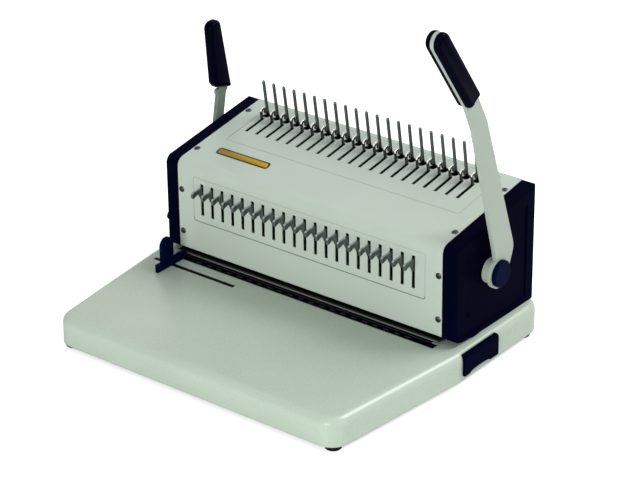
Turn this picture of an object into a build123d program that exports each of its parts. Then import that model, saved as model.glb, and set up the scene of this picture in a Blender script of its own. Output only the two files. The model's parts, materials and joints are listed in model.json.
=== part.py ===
from build123d import *
from math import atan, cos, degrees, pi, radians, sin, sqrt, tan
import os

os.makedirs("parts", exist_ok=True)

# Comb binding machine: a punch head and a comb opener on a flat desk base.
# Millimetres. X runs along the machine to the right, Y to the back and Z up.
# Pieces are drawn from the table, the head's middle plane and its front face, and written out
# with the origin on the table in the middle of the whole machine.

# Comb pattern
holes = 21
pitch = 14.2875
front_row_shift = -1.4
top_row_shift = -5.1

# Base
foot_height = 6.0
foot_radius = 9.0
foot_bevel = 1.0
foot_inset = 12.0
foot_sides = 16
foot_end_inset = 14.0
foot_back_inset = 25.0
base_height = 32.0
base_side_shelf = 11.7
base_narrowing = 20.5
base_front = -195.0
base_back = 150.0
base_taper_start = -10.0
base_front_corner = 22.0
base_back_corner = 26.0
base_side_bend = 120.0
base_edge = 9.0
base_edge_steps = 4
base_wall = 3.0
base_inner_bevel = 5.0
base_plate_thickness = 1.2

# Head
head_depth = 144.5
head_corner_height = 113.2
head_slope = 8.6
head_bend = 10.0
sheet = 1.2
cover_gap = 8.4
rear_lip = 14.0
rear_overlap = 6.0
end_cover_width = 17.8
end_cover_wall = 2.7
end_cover_edge = 2.5
end_cover_drop = 0.65
rim_width = 15.0
rim_height = 1.2
rim_foot = 6.0
end_cover_lift = ((-1.0, 11.0), (0.0, 7.5), (3.0, 5.5), (11.5, 2.8), (30.0, 1.6), (104.0, 0.0))

# Slotted faces
slot_width = 4.3
front_slot_bottom = 54.2
front_slot_top = 92.2
top_slot_front = 82.7
top_slot_back = 114.2
pin_hole_radius = 4.5
pin_hole_place = 121.6

# Side frames
frame_plate = 3.0
frame_flange = 2.0
frame_depth = 11.5
frame_play = 0.5
frame_foot_front = 8.0
bar_end_gap = 8.9

# Throat: die below, stripper plate above
strip_front = -13.0
strip_back = -4.0
strip_thickness = 2.0
strip_end_inset = 2.0
strip_mark_length = 7.0
strip_mark_width = 1.6
strip_mark_depth = 0.5
die_overhang = 2.0
die_back = 26.0
throat_gap = 3.5
stripper_front = -6.5
stripper_back = 24.0
stripper_thickness = 2.0
stripper_edge = 0.8
stop_front = 15.0
stop_back = 21.0

# Punches and their guide
punch_width = 8.0
punch_depth = 3.0
punch_line = 9.5
punch_retreat = 0.7
punch_head_width = 9.6
punch_head_depth = 6.0
punch_head_height = 3.0
guide_bottom = 24.0
guide_thickness = 3.0
guide_front = 3.0
guide_back = 30.0
guide_flange_drop = 12.0

# Punch bar with its racks
bar_front = 4.0
bar_back = 16.0
bar_bottom = 70.0
bar_height = 21.0
rack_width = 6.0
punch_rack_gap = 4.5
punch_rack_bottom = 54.0
punch_rack_top = 105.0
punch_stud_y = 26.0
punch_stud_radius = 4.0
punch_stud_heights = (64.0, 78.0)

# Pulls that take single punches out of work
pull_thickness = 2.4
pull_reach = 17.0
pull_back = 22.3
pull_bottom = 75.0
pull_top = 88.2
pull_tip_drop = 7.0
pull_tip_width = 3.0
pull_arch_drop = 4.6
pull_arch_place = 8.0
pull_leg_front = 1.8
pull_lug = 2.7
pull_lug_rise = 2.0
pull_travel = 6.0

# Gears
module = 1.5
pressure_angle = 20.0
backlash = 0.2
tip_relief = 0.08
root_depth = 1.25
pinion_teeth = 18
pinion_width = 6.0

# Shafts and levers
shaft_radius = 6.0
shaft_height = 67.5
punch_shaft_y = 60.5
opener_shaft_y = 98.0
bush_wall = 2.5
bush_length = 9.0
bush_flange = 1.5
bush_flange_radius = 11.0
lever_thickness = 4.5
lever_standoff = 7.7
boss_radius = 14.0
punch_eye_radius = 17.0
cap_radius = 14.8
cap_thickness = 5.0
cap_edge = 1.5
punch_swing = 80.0
opener_swing = 115.5

# Punch lever, measured from its shaft: to the back and up
blade_front = ((-6.5, 16.0), (-9.9, 29.5), (-52.6, 180.4))
blade_back = ((-29.0, 184.1), (25.6, 22.5), (18.5, 4.0))
blade_bend = 40.0
grip_start = (-57.0, 214.3)
grip_lean = 34.8
grip_length = 98.0
grip_width = 21.6
scale_thickness = 7.0
scale_edge = 6.0
scale_bevel = 3.0
scale_notch = 3.6
tang_inset = 0.5

# Opening lever, measured from its shaft: the bar leans back and the grip bends forward
opener_standoff = 11.2
opener_lean = 10.8
opener_bend = 18.8
opener_bar_width = 13.6
opener_bar_length = 87.3
opener_eye_radius = 14.0
opener_shoulder = 7.0
opener_shoulder_width = 18.0
opener_shoulder_shift = 1.5
opener_corner = 2.0
opener_grip_length = 84.0
opener_grip_bottom = 25.0
opener_grip_top = 15.0
opener_grip_thickness = 13.0
opener_grip_edge = 5.0
opener_grip_bevel = 2.5
opener_tang_width = 9.0
opener_tang_length = 60.0

# Comb opener
hook_thickness = 2.2
hook_leg = 3.2
hook_tip_width = 2.6
hook_inner_radius = 1.9
hook_leg_back = 113.6
hook_height = 13.0
hook_tip_height = 4.0
hook_bar_front = 107.0
hook_bar_back = 116.0
hook_bar_depth = 4.0
hook_bar_height = 10.0
hook_bar_end_gap = 10.0
hook_rack_gap = 2.0
hook_rack_front = 84.5
hook_rack_back = 134.0
hook_rack_body = 12.0
hook_stud_radius = 3.0
hook_stud_depth = 6.5
hook_stud_places = (92.0, 100.0)
pin_radius = 1.9
pin_place = 122.6
pin_height = 44.4
pin_tip = 0.8
pin_seat = 8.0
pin_bar_front = 117.5
pin_bar_back = 129.0

# Return springs below the punch bar
spring_outer = 3.9
spring_inner = 2.6

# Edge guide
guide_slot_inset = 17.5
guide_slot_length = 113.0
fence_place = 25.0
fence_thickness = 4.0
fence_front = -56.0
fence_back = -7.2
fence_height = 9.0
tab_front = -48.0
tab_back = -29.0
tab_height = 36.5
guide_slot_y = -30.0
guide_slot_width = 4.0
guide_stem_length = 12.0
guide_foot_width = 12.0
guide_foot_length = 20.0
guide_foot_thickness = 2.5

# Chip tray
tray_front_start = -2.5
tray_front_end = 58.5
tray_sill = 5.0
tray_front_top = 35.0
tray_front_proud = 3.0
tray_wall = 1.8
tray_top = 22.0
tray_side_step = 3.0
tray_scoop_half_length = 18.5
tray_scoop_depth = 3.2
tray_corner = 3.0

# Screws and the opener's stop stud
screw_radius = 2.0
screw_head_radius = 3.6
screw_head_height = 1.5
screw_head_taper = 30.0
screw_length = 7.0
front_screw_heights = (27.6, 78.4)
top_screw_places = (28.5, 119.5)
end_screw_place = (24.5, 29.0)
stud_place = (20.4, 28.2)
stud_radius = 5.2
stud_reach = 16.0

# Clearances
seam = 0.3
play = 0.15
running = 0.06
hole_play = 0.4

# Small or hidden round forms and the hooks' bends are drawn with few sides
small_sides = 8
round_sides = 12
hook_steps = 4


def row(shift):
    """Places of one row along the machine."""
    return [shift + (i - (holes - 1) / 2) * pitch for i in range(holes)]


front_row = row(front_row_shift)
top_row = row(top_row_shift)

# Widths, worked outward from the ends of the front row
row_end = max(abs(x) for x in front_row)
spring_x = row_end + punch_head_width / 2 + seam + spring_outer
bar_half_width = spring_x + spring_outer + play
frame_inside = bar_half_width + bar_end_gap
frame_reach = frame_inside + frame_depth
head_half_width = frame_reach + frame_play
screw_x = frame_inside + (frame_plate + frame_depth) / 2
punch_rack_inside = row_end + pull_thickness / 2 + punch_rack_gap
hook_rack_inside = punch_rack_inside - rack_width - hook_rack_gap
hook_bar_half_width = frame_inside - hook_bar_end_gap
die_half_width = frame_inside + die_overhang
strip_half_width = head_half_width - strip_end_inset
end_face = head_half_width + end_cover_width
recess_face = end_face - rim_height
base_half_width = end_face + base_side_shelf
base_front_half_width = base_half_width - base_narrowing
guide_slot_start = guide_slot_inset - base_half_width
guide_slot_end = guide_slot_start + guide_slot_length
fence_x = guide_slot_start + fence_place
tray_front_out = base_half_width + tray_front_proud
tray_inner_end = -die_half_width
stud_end = recess_face + stud_reach

# Heights and lines worked out from the sizes above
base_top = foot_height + base_height
head_corner_z = base_top + head_corner_height
slope_sin = sin(radians(head_slope))
slope_cos = cos(radians(head_slope))
slope_tan = tan(radians(head_slope))
shaft_z = base_top + shaft_height
throat_top = base_top + throat_gap
stripper_top = throat_top + stripper_thickness
bar_z = base_top + bar_bottom
pinion_radius = module * pinion_teeth / 2
punch_rack_line = punch_shaft_y - pinion_radius
punch_travel = pinion_radius * radians(punch_swing)
opener_travel = pinion_radius * radians(opener_swing)
lever_inside = end_face + lever_standoff
lever_outside = lever_inside + lever_thickness
boss_length = lever_inside - recess_face - seam
opener_inside = end_face + opener_standoff
opener_outside = opener_inside + lever_thickness
opener_boss_length = opener_inside - recess_face - seam
punch_reach = lever_outside + scale_thickness
opener_reach = opener_outside + cap_thickness
middle_x = (punch_reach - opener_reach) / 2
middle_y = (base_front + base_back) / 2
tray_bottom = foot_height + tray_sill + seam
opener_depth = (head_corner_z + opener_shaft_y * slope_tan - shaft_z) * slope_cos
opener_along = (opener_shaft_y - opener_depth * slope_sin) / slope_cos
hook_rack_line = opener_depth - pinion_radius

# On the top plane X runs along the machine, Y up the slope and Z out of the sheet.
top_plane = Plane(origin=(0, 0, head_corner_z), x_dir=(1, 0, 0), z_dir=(0, -slope_sin, slope_cos))


def save(piece, name):
    """Name a finished piece, move it to the machine's origin and write it out."""
    placed = piece.part.moved(Location((-middle_x, -middle_y, 0)))
    placed.label = name
    export_step(placed, f"parts/{name}.step")


def side_plane(x):
    """Plane across the machine: first axis to the back, second axis up."""
    return Plane(origin=(x, 0, 0), x_dir=(0, 1, 0), z_dir=(1, 0, 0))


def slope_plane(x):
    """Plane across the machine: first axis up the slope, second axis out of the top."""
    return Plane(origin=(x, 0, head_corner_z), x_dir=(0, slope_cos, slope_sin), z_dir=(1, 0, 0))


def outline(plane, points, rounds=(), bevels=()):
    """Face with straight sides through points; rounds and bevels pair a corner with a size."""
    with BuildSketch(plane) as face:
        with BuildLine():
            Polyline(*points, close=True)
        make_face()
        for corner, radius in rounds:
            fillet(face.vertices().sort_by_distance(corner)[0], radius)
        for corner, length in bevels:
            chamfer(face.vertices().sort_by_distance(corner)[0], length)
    return face.sketch


def head_profile(x, inset, bottom, drop=0, back_inset=0):
    """Side outline of the head at x, moved inward by inset, down to the height bottom."""
    corner_z = head_corner_z - drop - inset / slope_cos + inset * slope_tan
    back_y = head_depth - inset - back_inset
    back_z = corner_z + (back_y - inset) * slope_tan
    corner = (inset, corner_z)
    points = (corner, (back_y, back_z), (back_y, bottom), (inset, bottom))
    return outline(side_plane(x), points, [(corner, max(head_bend - inset, sheet))])


def involute(radius, base):
    """Turn of an involute between its base circle and a radius."""
    slope = sqrt((radius / base) ** 2 - 1)
    return slope - atan(slope)


def pinion_points(center, start):
    """Corners of a straight-flanked pinion with one tooth on the direction start, in degrees."""
    base = pinion_radius * cos(radians(pressure_angle))
    tip = pinion_radius + module - tip_relief
    root = pinion_radius - root_depth * module
    middle_half = pi / (2 * pinion_teeth) - backlash / (2 * pinion_radius)
    root_half = middle_half + involute(pinion_radius, base)
    tip_half = root_half - involute(tip, base)
    points = []
    for tooth in range(pinion_teeth):
        middle = radians(start) + 2 * pi * tooth / pinion_teeth
        points += [(root, middle - root_half), (tip, middle - tip_half)]
        points += [(tip, middle + tip_half), (root, middle + root_half)]
    return [(center[0] + r * cos(a), center[1] + r * sin(a)) for r, a in points]


def rack_points(first, last):
    """Travel and height of a rack's tooth corners, with a gap at zero travel."""
    tooth_pitch = pi * module
    lean = tan(radians(pressure_angle))
    half = tooth_pitch / 4 - backlash / 4
    low = -root_depth * module
    high = module - tip_relief
    points = []
    for tooth in range(int(first // tooth_pitch) - 1, int(last // tooth_pitch) + 2):
        middle = (tooth + 0.5) * tooth_pitch
        if middle - half + low * lean > first and middle + half - low * lean < last:
            points.append((middle - half + low * lean, low))
            points.append((middle - half + high * lean, high))
            points.append((middle + half - high * lean, high))
            points.append((middle + half - low * lean, low))
    return [(first, low)] + points + [(last, low)]


# Base shell, open below, with rounded corners and a top edge rounded in steps
with BuildPart() as base_shell:
    with BuildSketch(Plane.XY.offset(foot_height)) as base_plan:
        with BuildLine():
            Polyline(
                (-base_front_half_width, base_front),
                (base_front_half_width, base_front),
                (base_half_width, base_taper_start),
                (base_half_width, base_back),
                (-base_half_width, base_back),
                (-base_half_width, base_taper_start),
                close=True,
            )
        make_face()
        base_corners = base_plan.vertices().sort_by(Axis.Y)
        fillet(base_corners[:2], base_front_corner)
        base_corners = base_plan.vertices().sort_by_distance((base_half_width, base_taper_start))
        fillet(base_corners[0], base_side_bend)
        base_corners = base_plan.vertices().sort_by_distance((-base_half_width, base_taper_start))
        fillet(base_corners[0], base_side_bend)
        base_corners = base_plan.vertices().sort_by(Axis.Y)
        fillet(base_corners[-2:], base_back_corner)
    extrude(amount=base_height - base_edge)
    turns = [pi / 2 * step / base_edge_steps for step in range(base_edge_steps + 1)]
    for low, high in zip(turns, turns[1:]):
        rise = base_edge * (sin(high) - sin(low))
        draw_in = base_edge * (cos(low) - cos(high))
        top_face = base_shell.faces().sort_by(Axis.Z)[-1]
        extrude(top_face, amount=rise, taper=degrees(atan(draw_in / rise)))
    with BuildSketch(Plane.XY.offset(foot_height)) as base_inside:
        add(base_plan.sketch)
        offset(amount=-base_wall)
    hollow_height = base_height - base_wall
    extrude(amount=hollow_height - base_inner_bevel, mode=Mode.SUBTRACT)
    extrude(
        base_inside.sketch.moved(Location((0, 0, hollow_height - base_inner_bevel))),
        amount=base_inner_bevel,
        taper=45,
        mode=Mode.SUBTRACT,
    )
    with BuildSketch(Plane.XY.offset(base_top - base_wall)):
        with Locations((0, (strip_back + die_back) / 2)):
            Rectangle(2 * die_half_width, die_back - strip_back)
    extrude(amount=base_wall, mode=Mode.SUBTRACT)
    with BuildSketch(Plane.XY.offset(base_top - strip_thickness)):
        with Locations((0, (strip_front + strip_back) / 2)):
            Rectangle(2 * strip_half_width, strip_back - strip_front)
    extrude(amount=strip_thickness, mode=Mode.SUBTRACT)
    with BuildSketch(Plane.XY.offset(base_top - base_wall)):
        with Locations(((guide_slot_start + guide_slot_end) / 2, guide_slot_y)):
            SlotOverall(guide_slot_end - guide_slot_start, guide_slot_width)
    extrude(amount=base_wall, mode=Mode.SUBTRACT)
    tray_middle = (tray_front_start + tray_front_end) / 2
    tray_opening = tray_front_end - tray_front_start + 2 * seam
    with BuildSketch(side_plane(base_half_width - 2 * base_wall)):
        with Locations((tray_middle, (tray_bottom + tray_front_top) / 2)):
            Rectangle(tray_opening, tray_front_top - tray_bottom + 2 * seam)
    extrude(amount=3 * base_wall, mode=Mode.SUBTRACT)
save(base_shell, "base_shell")

# Bottom plate inside the shell
with BuildPart() as base_plate:
    plate_inset = base_wall + seam
    with BuildSketch(Plane.XY.offset(foot_height)):
        add(base_plan.sketch)
        offset(amount=-plate_inset)
    extrude(amount=base_plate_thickness)
save(base_plate, "base_bottom_plate")

# Rubber feet
with BuildPart() as feet:
    front_foot = (base_front_half_width - foot_inset, base_front + foot_end_inset)
    back_foot = (base_half_width - foot_inset, base_back - foot_back_inset)
    with BuildSketch():
        with Locations(*[(side * x, y) for x, y in (front_foot, back_foot) for side in (-1, 1)]):
            RegularPolygon(foot_radius, foot_sides)
    extrude(amount=foot_height)
    chamfer(feet.faces().group_by(Axis.Z)[0].edges(), foot_bevel)
save(feet, "rubber_feet")

# Black strip in front of the throat, with one mark for each hole
with BuildPart() as throat_strip:
    strip_middle = (strip_front + strip_back) / 2
    strip_depth = strip_back - strip_front - 2 * play
    with BuildSketch(Plane.XY.offset(base_top - strip_thickness)):
        with Locations((0, strip_middle)):
            Rectangle(2 * (strip_half_width - play), strip_depth)
    extrude(amount=strip_thickness)
    with BuildSketch(Plane.XY.offset(base_top)):
        with Locations(*[(x, strip_middle) for x in front_row]):
            Rectangle(strip_mark_length, strip_mark_width)
    extrude(amount=-strip_mark_depth, mode=Mode.SUBTRACT)
save(throat_strip, "throat_strip")

# Die plate, flush with the top of the base
with BuildPart() as die_plate:
    with BuildSketch(Plane.XY.offset(base_top)):
        with Locations((0, (strip_back + die_back) / 2)):
            Rectangle(2 * (die_half_width - play), die_back - strip_back - 2 * play)
        with Locations(*[(x, punch_line) for x in front_row]):
            Rectangle(punch_width + 2 * play, punch_depth + 2 * play, mode=Mode.SUBTRACT)
    extrude(amount=-base_wall)
save(die_plate, "die_plate")

# Stripper plate above the sheets
with BuildPart() as stripper_plate:
    with BuildSketch(Plane.XY.offset(throat_top)):
        with Locations((0, (stripper_front + stripper_back) / 2)):
            Rectangle(2 * frame_reach, stripper_back - stripper_front)
        with Locations(*[(x, punch_line) for x in front_row]):
            Rectangle(punch_width + 2 * play, punch_depth + 2 * play, mode=Mode.SUBTRACT)
    extrude(amount=stripper_thickness)
    fillet(stripper_plate.edges().filter_by(Axis.X).group_by(Axis.Y)[0], stripper_edge)
save(stripper_plate, "stripper_plate")

# Stop bar that the sheets meet, also carrying the stripper plate
with BuildPart() as paper_stop:
    with BuildSketch(Plane.XY.offset(base_top)):
        with Locations((0, (stop_front + stop_back) / 2)):
            Rectangle(2 * frame_inside, stop_back - stop_front)
    extrude(amount=throat_gap)
save(paper_stop, "paper_stop")

# Folded sheet cover with the two slotted faces
with BuildPart() as metal_cover:
    cover_bottom = base_top + cover_gap
    extrude(head_profile(-head_half_width, 0, cover_bottom), 2 * head_half_width)
    inside = head_profile(-head_half_width, sheet, cover_bottom)
    extrude(inside, 2 * head_half_width, mode=Mode.SUBTRACT)
    rear_top = head_corner_z + head_depth * slope_tan
    with BuildSketch(Plane.XZ.offset(-head_depth)):
        with Locations((0, (base_top + rear_top - rear_lip) / 2)):
            Rectangle(2 * head_half_width, rear_top - rear_lip - base_top)
    extrude(amount=2 * sheet, mode=Mode.SUBTRACT)
    slot_middle = base_top + (front_slot_bottom + front_slot_top) / 2
    with BuildSketch(Plane.XZ.offset(-sheet)):
        with Locations(*[(x, slot_middle) for x in front_row]):
            Rectangle(slot_width, front_slot_top - front_slot_bottom)
        with Locations(*[(s * screw_x, base_top + h) for s in (-1, 1) for h in front_screw_heights]):
            RegularPolygon(screw_radius + play, small_sides)
    extrude(amount=2 * sheet, mode=Mode.SUBTRACT)
    with BuildSketch(top_plane.offset(-sheet)):
        with Locations(*[(x, (top_slot_front + top_slot_back) / 2) for x in top_row]):
            Rectangle(slot_width, top_slot_back - top_slot_front)
        with Locations(*[(x, pin_hole_place) for x in top_row]):
            RegularPolygon(pin_hole_radius, round_sides)
        with Locations(*[(s * screw_x, u) for s in (-1, 1) for u in top_screw_places]):
            RegularPolygon(screw_radius + play, small_sides)
    extrude(amount=2 * sheet, mode=Mode.SUBTRACT)
save(metal_cover, "metal_cover")

# Flat rear plate behind the lip of the cover
with BuildPart() as rear_cover:
    rear_bottom = base_top
    rear_height = rear_top - rear_lip + rear_overlap - rear_bottom
    with BuildSketch(Plane.XZ.offset(-(head_depth - sheet))):
        with Locations((0, rear_bottom + rear_height / 2)):
            Rectangle(2 * frame_reach, rear_height)
    extrude(amount=sheet)
save(rear_cover, "rear_cover")

# Moulded end covers with a raised rim and a sunk panel; the left one carries the opener's stop stud
for side, name in ((1, "right_end_cover"), (-1, "left_end_cover")):
    with BuildPart() as end_cover:
        extrude(head_profile(side * head_half_width, 0, base_top, end_cover_drop), side * end_cover_width)
        outer = end_cover.faces().sort_by(Axis.X)[0 if side < 0 else -1]
        fillet(outer.edges().sort_by(Axis.Z)[1:], end_cover_edge)
        cavity = head_profile(side * head_half_width, end_cover_wall, base_top, end_cover_drop)
        extrude(cavity, side * (end_cover_width - rim_height - end_cover_wall), mode=Mode.SUBTRACT)
        sunk = head_profile(side * recess_face, rim_width, base_top + rim_foot, end_cover_drop)
        extrude(sunk, side * end_cover_width, mode=Mode.SUBTRACT)
        lifted = [(y, base_top + z) for y, z in end_cover_lift] + [(end_cover_lift[0][0], base_top)]
        extrude(outline(side_plane(side * head_half_width), lifted), side * end_cover_width, mode=Mode.SUBTRACT)
        if side < 0:
            with BuildSketch(side_plane(side * recess_face)):
                with Locations((stud_place[0], base_top + stud_place[1])):
                    Circle(stud_radius)
            extrude(amount=side * (stud_end - recess_face))
        shaft_y = punch_shaft_y if side > 0 else opener_shaft_y
        with BuildSketch(side_plane(side * head_half_width)):
            with Locations((shaft_y, shaft_z)):
                RegularPolygon(shaft_radius + hole_play, round_sides, major_radius=False)
            if side > 0:
                with Locations((end_screw_place[0], base_top + end_screw_place[1])):
                    RegularPolygon(screw_radius + play, small_sides)
        extrude(amount=side * end_cover_width, mode=Mode.SUBTRACT)
    save(end_cover, name)

# Folded side frames that carry both shafts
for side, name in ((1, "right_side_frame"), (-1, "left_side_frame")):
    with BuildPart() as frame:
        full = head_profile(side * frame_inside, sheet, base_top, back_inset=sheet)
        extrude(full, side * (frame_reach - frame_inside))
        inset = sheet + frame_flange
        hollow = head_profile(side * (frame_inside + frame_plate), inset, base_top + frame_flange)
        extrude(hollow, side * (frame_reach - frame_inside), mode=Mode.SUBTRACT)
        with BuildSketch(side_plane(side * frame_inside)):
            with Locations(((stripper_back + seam) / 2, (base_top + stripper_top) / 2)):
                Rectangle(stripper_back + seam, stripper_top - base_top)
            with Locations((frame_foot_front / 2, base_top + cover_gap / 2)):
                Rectangle(frame_foot_front, cover_gap)
            with Locations((punch_shaft_y, shaft_z), (opener_shaft_y, shaft_z)):
                RegularPolygon(shaft_radius + bush_wall, round_sides)
        extrude(amount=side * (frame_reach - frame_inside), mode=Mode.SUBTRACT)
        with BuildSketch(Plane.XZ.offset(-sheet - frame_flange)):
            with Locations(*[(side * screw_x, base_top + h) for h in front_screw_heights]):
                RegularPolygon(screw_radius, small_sides)
        extrude(amount=frame_flange, mode=Mode.SUBTRACT)
        with BuildSketch(top_plane.offset(-sheet - frame_flange)):
            with Locations(*[(side * screw_x, u) for u in top_screw_places]):
                RegularPolygon(screw_radius, small_sides)
        extrude(amount=frame_flange, mode=Mode.SUBTRACT)
    save(frame, name)

# Flanged bushes for the shafts in the side frames
with BuildPart() as bushes:
    for side in (-1, 1):
        with BuildSketch(side_plane(side * (frame_inside - bush_flange))):
            with Locations((punch_shaft_y, shaft_z), (opener_shaft_y, shaft_z)):
                RegularPolygon(bush_flange_radius, round_sides)
        extrude(amount=side * bush_flange)
        with BuildSketch(side_plane(side * frame_inside)):
            with Locations((punch_shaft_y, shaft_z), (opener_shaft_y, shaft_z)):
                RegularPolygon(shaft_radius + bush_wall, round_sides)
        extrude(amount=side * (bush_length - bush_flange))
    with BuildSketch(side_plane(-frame_inside - bush_length)):
        with Locations((punch_shaft_y, shaft_z), (opener_shaft_y, shaft_z)):
            RegularPolygon(shaft_radius + running, round_sides, major_radius=False)
    extrude(amount=2 * (frame_inside + bush_length), mode=Mode.SUBTRACT)
save(bushes, "shaft_bushes")

# Screws of the cover and of the right end cover
screw_seats = []
for side in (-1, 1):
    screw_seats += [(Plane.XZ, (side * screw_x, base_top + h)) for h in front_screw_heights]
    screw_seats += [(top_plane, (side * screw_x, u)) for u in top_screw_places]
screw_seats.append((side_plane(recess_face), (end_screw_place[0], base_top + end_screw_place[1])))
with BuildPart() as screws:
    for seat, place in screw_seats:
        with BuildSketch(seat):
            with Locations(place):
                RegularPolygon(screw_head_radius, round_sides)
        extrude(amount=screw_head_height, taper=screw_head_taper)
        with BuildSketch(seat):
            with Locations(place):
                RegularPolygon(screw_radius, small_sides)
        extrude(amount=-screw_length)
save(screws, "cover_screws")

# Flanged plate that guides the punches between the side frames
with BuildPart() as guide_plate:
    guide_z = base_top + guide_bottom
    with BuildSketch(Plane.XY.offset(guide_z)):
        with Locations((0, (guide_front + guide_back) / 2)):
            Rectangle(2 * frame_inside, guide_back - guide_front)
        with Locations(*[(x, punch_line) for x in front_row]):
            Rectangle(punch_width + 2 * play, punch_depth + 2 * play, mode=Mode.SUBTRACT)
    extrude(amount=guide_thickness)
    with BuildSketch(Plane.XY.offset(guide_z)):
        with Locations((0, guide_back - guide_thickness / 2)):
            Rectangle(2 * frame_inside, guide_thickness)
    extrude(amount=-guide_flange_drop)
save(guide_plate, "punch_guide_plate")

# Punches with flat heads under the bar, hollow-ground at the cutting end
punch_tip = throat_top + punch_retreat
with BuildPart() as punches:
    with BuildSketch(Plane.XY.offset(punch_tip)):
        with Locations(*[(x, punch_line) for x in front_row]):
            Rectangle(punch_width, punch_depth)
    extrude(amount=bar_z - punch_head_height - punch_tip)
    with BuildSketch(Plane.XY.offset(bar_z - punch_head_height)):
        with Locations(*[(x, punch_line) for x in front_row]):
            Rectangle(punch_head_width, punch_head_depth)
    extrude(amount=punch_head_height)
    with BuildSketch(Plane.XZ.offset(-punch_line)):
        with Locations(*[(x, punch_tip) for x in front_row]):
            Polygon((-punch_width / 2, 0), (punch_width / 2, 0), (0, punch_retreat), align=None)
    extrude(amount=punch_depth, both=True, mode=Mode.SUBTRACT)
save(punches, "punches")

# Punch bar with a slot for each pull
with BuildPart() as punch_bar:
    with BuildSketch(side_plane(-bar_half_width)):
        with Locations(((bar_front + bar_back) / 2, bar_z + bar_height / 2)):
            Rectangle(bar_back - bar_front, bar_height)
    extrude(amount=2 * bar_half_width)
    pull_z = base_top + (pull_bottom + pull_top) / 2
    with BuildSketch(Plane.XZ.offset(-bar_back)):
        with Locations(*[(x, pull_z) for x in front_row]):
            Rectangle(pull_thickness + 2 * play, pull_top - pull_bottom + 2 * play)
    extrude(amount=bar_back - bar_front, mode=Mode.SUBTRACT)
save(punch_bar, "punch_bar")

# Rack plates at both ends of the punch bar, each slotted for its guide studs
punch_rack = rack_points(punch_rack_bottom - shaft_height, punch_rack_top - shaft_height)
punch_rack_outline = [(punch_rack_line + h, shaft_z + s) for s, h in punch_rack]
punch_rack_outline += [(bar_back, base_top + punch_rack_top), (bar_back, base_top + punch_rack_bottom)]
with BuildPart() as punch_racks:
    for side in (-1, 1):
        plate = outline(side_plane(side * punch_rack_inside), punch_rack_outline)
        extrude(plate, side * rack_width)
    stud_low = base_top + punch_stud_heights[0] - punch_stud_radius - running
    stud_high = base_top + punch_stud_heights[1] + punch_stud_radius + running
    slot_length = stud_high - stud_low + punch_travel + 2 * hole_play
    with BuildSketch(side_plane(-punch_rack_inside - rack_width)):
        with Locations((punch_stud_y, stud_low - hole_play + slot_length / 2)):
            Rectangle(2 * (punch_stud_radius + running), slot_length)
    extrude(amount=2 * (punch_rack_inside + rack_width), mode=Mode.SUBTRACT)
save(punch_racks, "punch_racks")

# Pulls: flat hooked plates that slide forward out of the bar
pull_top_z = base_top + pull_top
pull_bottom_z = base_top + pull_bottom
pull_points = (
    (pull_back, pull_top_z),
    (-pull_reach, pull_top_z),
    (-pull_reach, pull_top_z - pull_tip_drop),
    (-pull_reach + pull_tip_width, pull_top_z - pull_tip_drop),
    (-pull_arch_place, pull_top_z - pull_arch_drop),
    (-pull_leg_front - pull_tip_width, pull_top_z - pull_tip_drop),
    (-pull_leg_front, pull_bottom_z),
    (pull_back, pull_bottom_z),
    (pull_back, pull_bottom_z - pull_lug_rise),
    (pull_back + pull_lug, pull_bottom_z - pull_lug_rise),
    (pull_back + pull_lug, pull_top_z + pull_lug_rise),
    (pull_back, pull_top_z + pull_lug_rise),
)
pull_bevels = (
    (pull_points[1], pull_tip_width / 2),
    (pull_points[2], pull_tip_width / 4),
    (pull_points[3], pull_tip_width / 4),
    (pull_points[4], pull_tip_width / 2),
)
for number, x in enumerate(front_row, 1):
    with BuildPart() as pull:
        plate = outline(side_plane(x - pull_thickness / 2), pull_points, bevels=pull_bevels)
        extrude(plate, pull_thickness)
    save(pull, f"punch_pull_{number:02d}")

# Return springs between the guide plate and the punch bar, drawn as closed sleeves
with BuildPart() as springs:
    spring_y = (bar_front + bar_back) / 2
    with BuildSketch(Plane.XY.offset(guide_z + guide_thickness)):
        with Locations((-spring_x, spring_y), (spring_x, spring_y)):
            RegularPolygon(spring_outer, round_sides)
            RegularPolygon(spring_inner, round_sides, mode=Mode.SUBTRACT)
    extrude(amount=bar_z - guide_z - guide_thickness)
save(springs, "return_springs")

# Guide studs on the side frames, for the punch racks and for the opener's racks
with BuildPart() as studs:
    for side in (-1, 1):
        with BuildSketch(side_plane(side * frame_inside)):
            with Locations(*[(punch_stud_y, base_top + h) for h in punch_stud_heights]):
                RegularPolygon(punch_stud_radius, round_sides)
        extrude(amount=side * (punch_rack_inside - frame_inside))
        with BuildSketch(slope_plane(side * frame_inside)):
            stud_v = -(hook_rack_line - hook_stud_depth)
            with Locations(*[(u, stud_v) for u in hook_stud_places]):
                RegularPolygon(hook_stud_radius, round_sides)
        extrude(amount=side * (hook_rack_inside - frame_inside))
save(studs, "guide_studs")

# Shafts, each through both frames and out of one end cover
shaft_end = frame_inside + bush_length
for side, y, reach, name in (
    (1, punch_shaft_y, lever_outside, "punch_shaft"),
    (-1, opener_shaft_y, opener_outside, "opener_shaft"),
):
    with BuildPart() as shaft:
        with BuildSketch(side_plane(-side * shaft_end)):
            with Locations((y, shaft_z)):
                Circle(shaft_radius)
        extrude(amount=side * (shaft_end + reach))
        chamfer(shaft.edges().filter_by(GeomType.CIRCLE).sort_by(Axis.X)[0 if side > 0 else -1], play)
    save(shaft, name)

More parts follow.
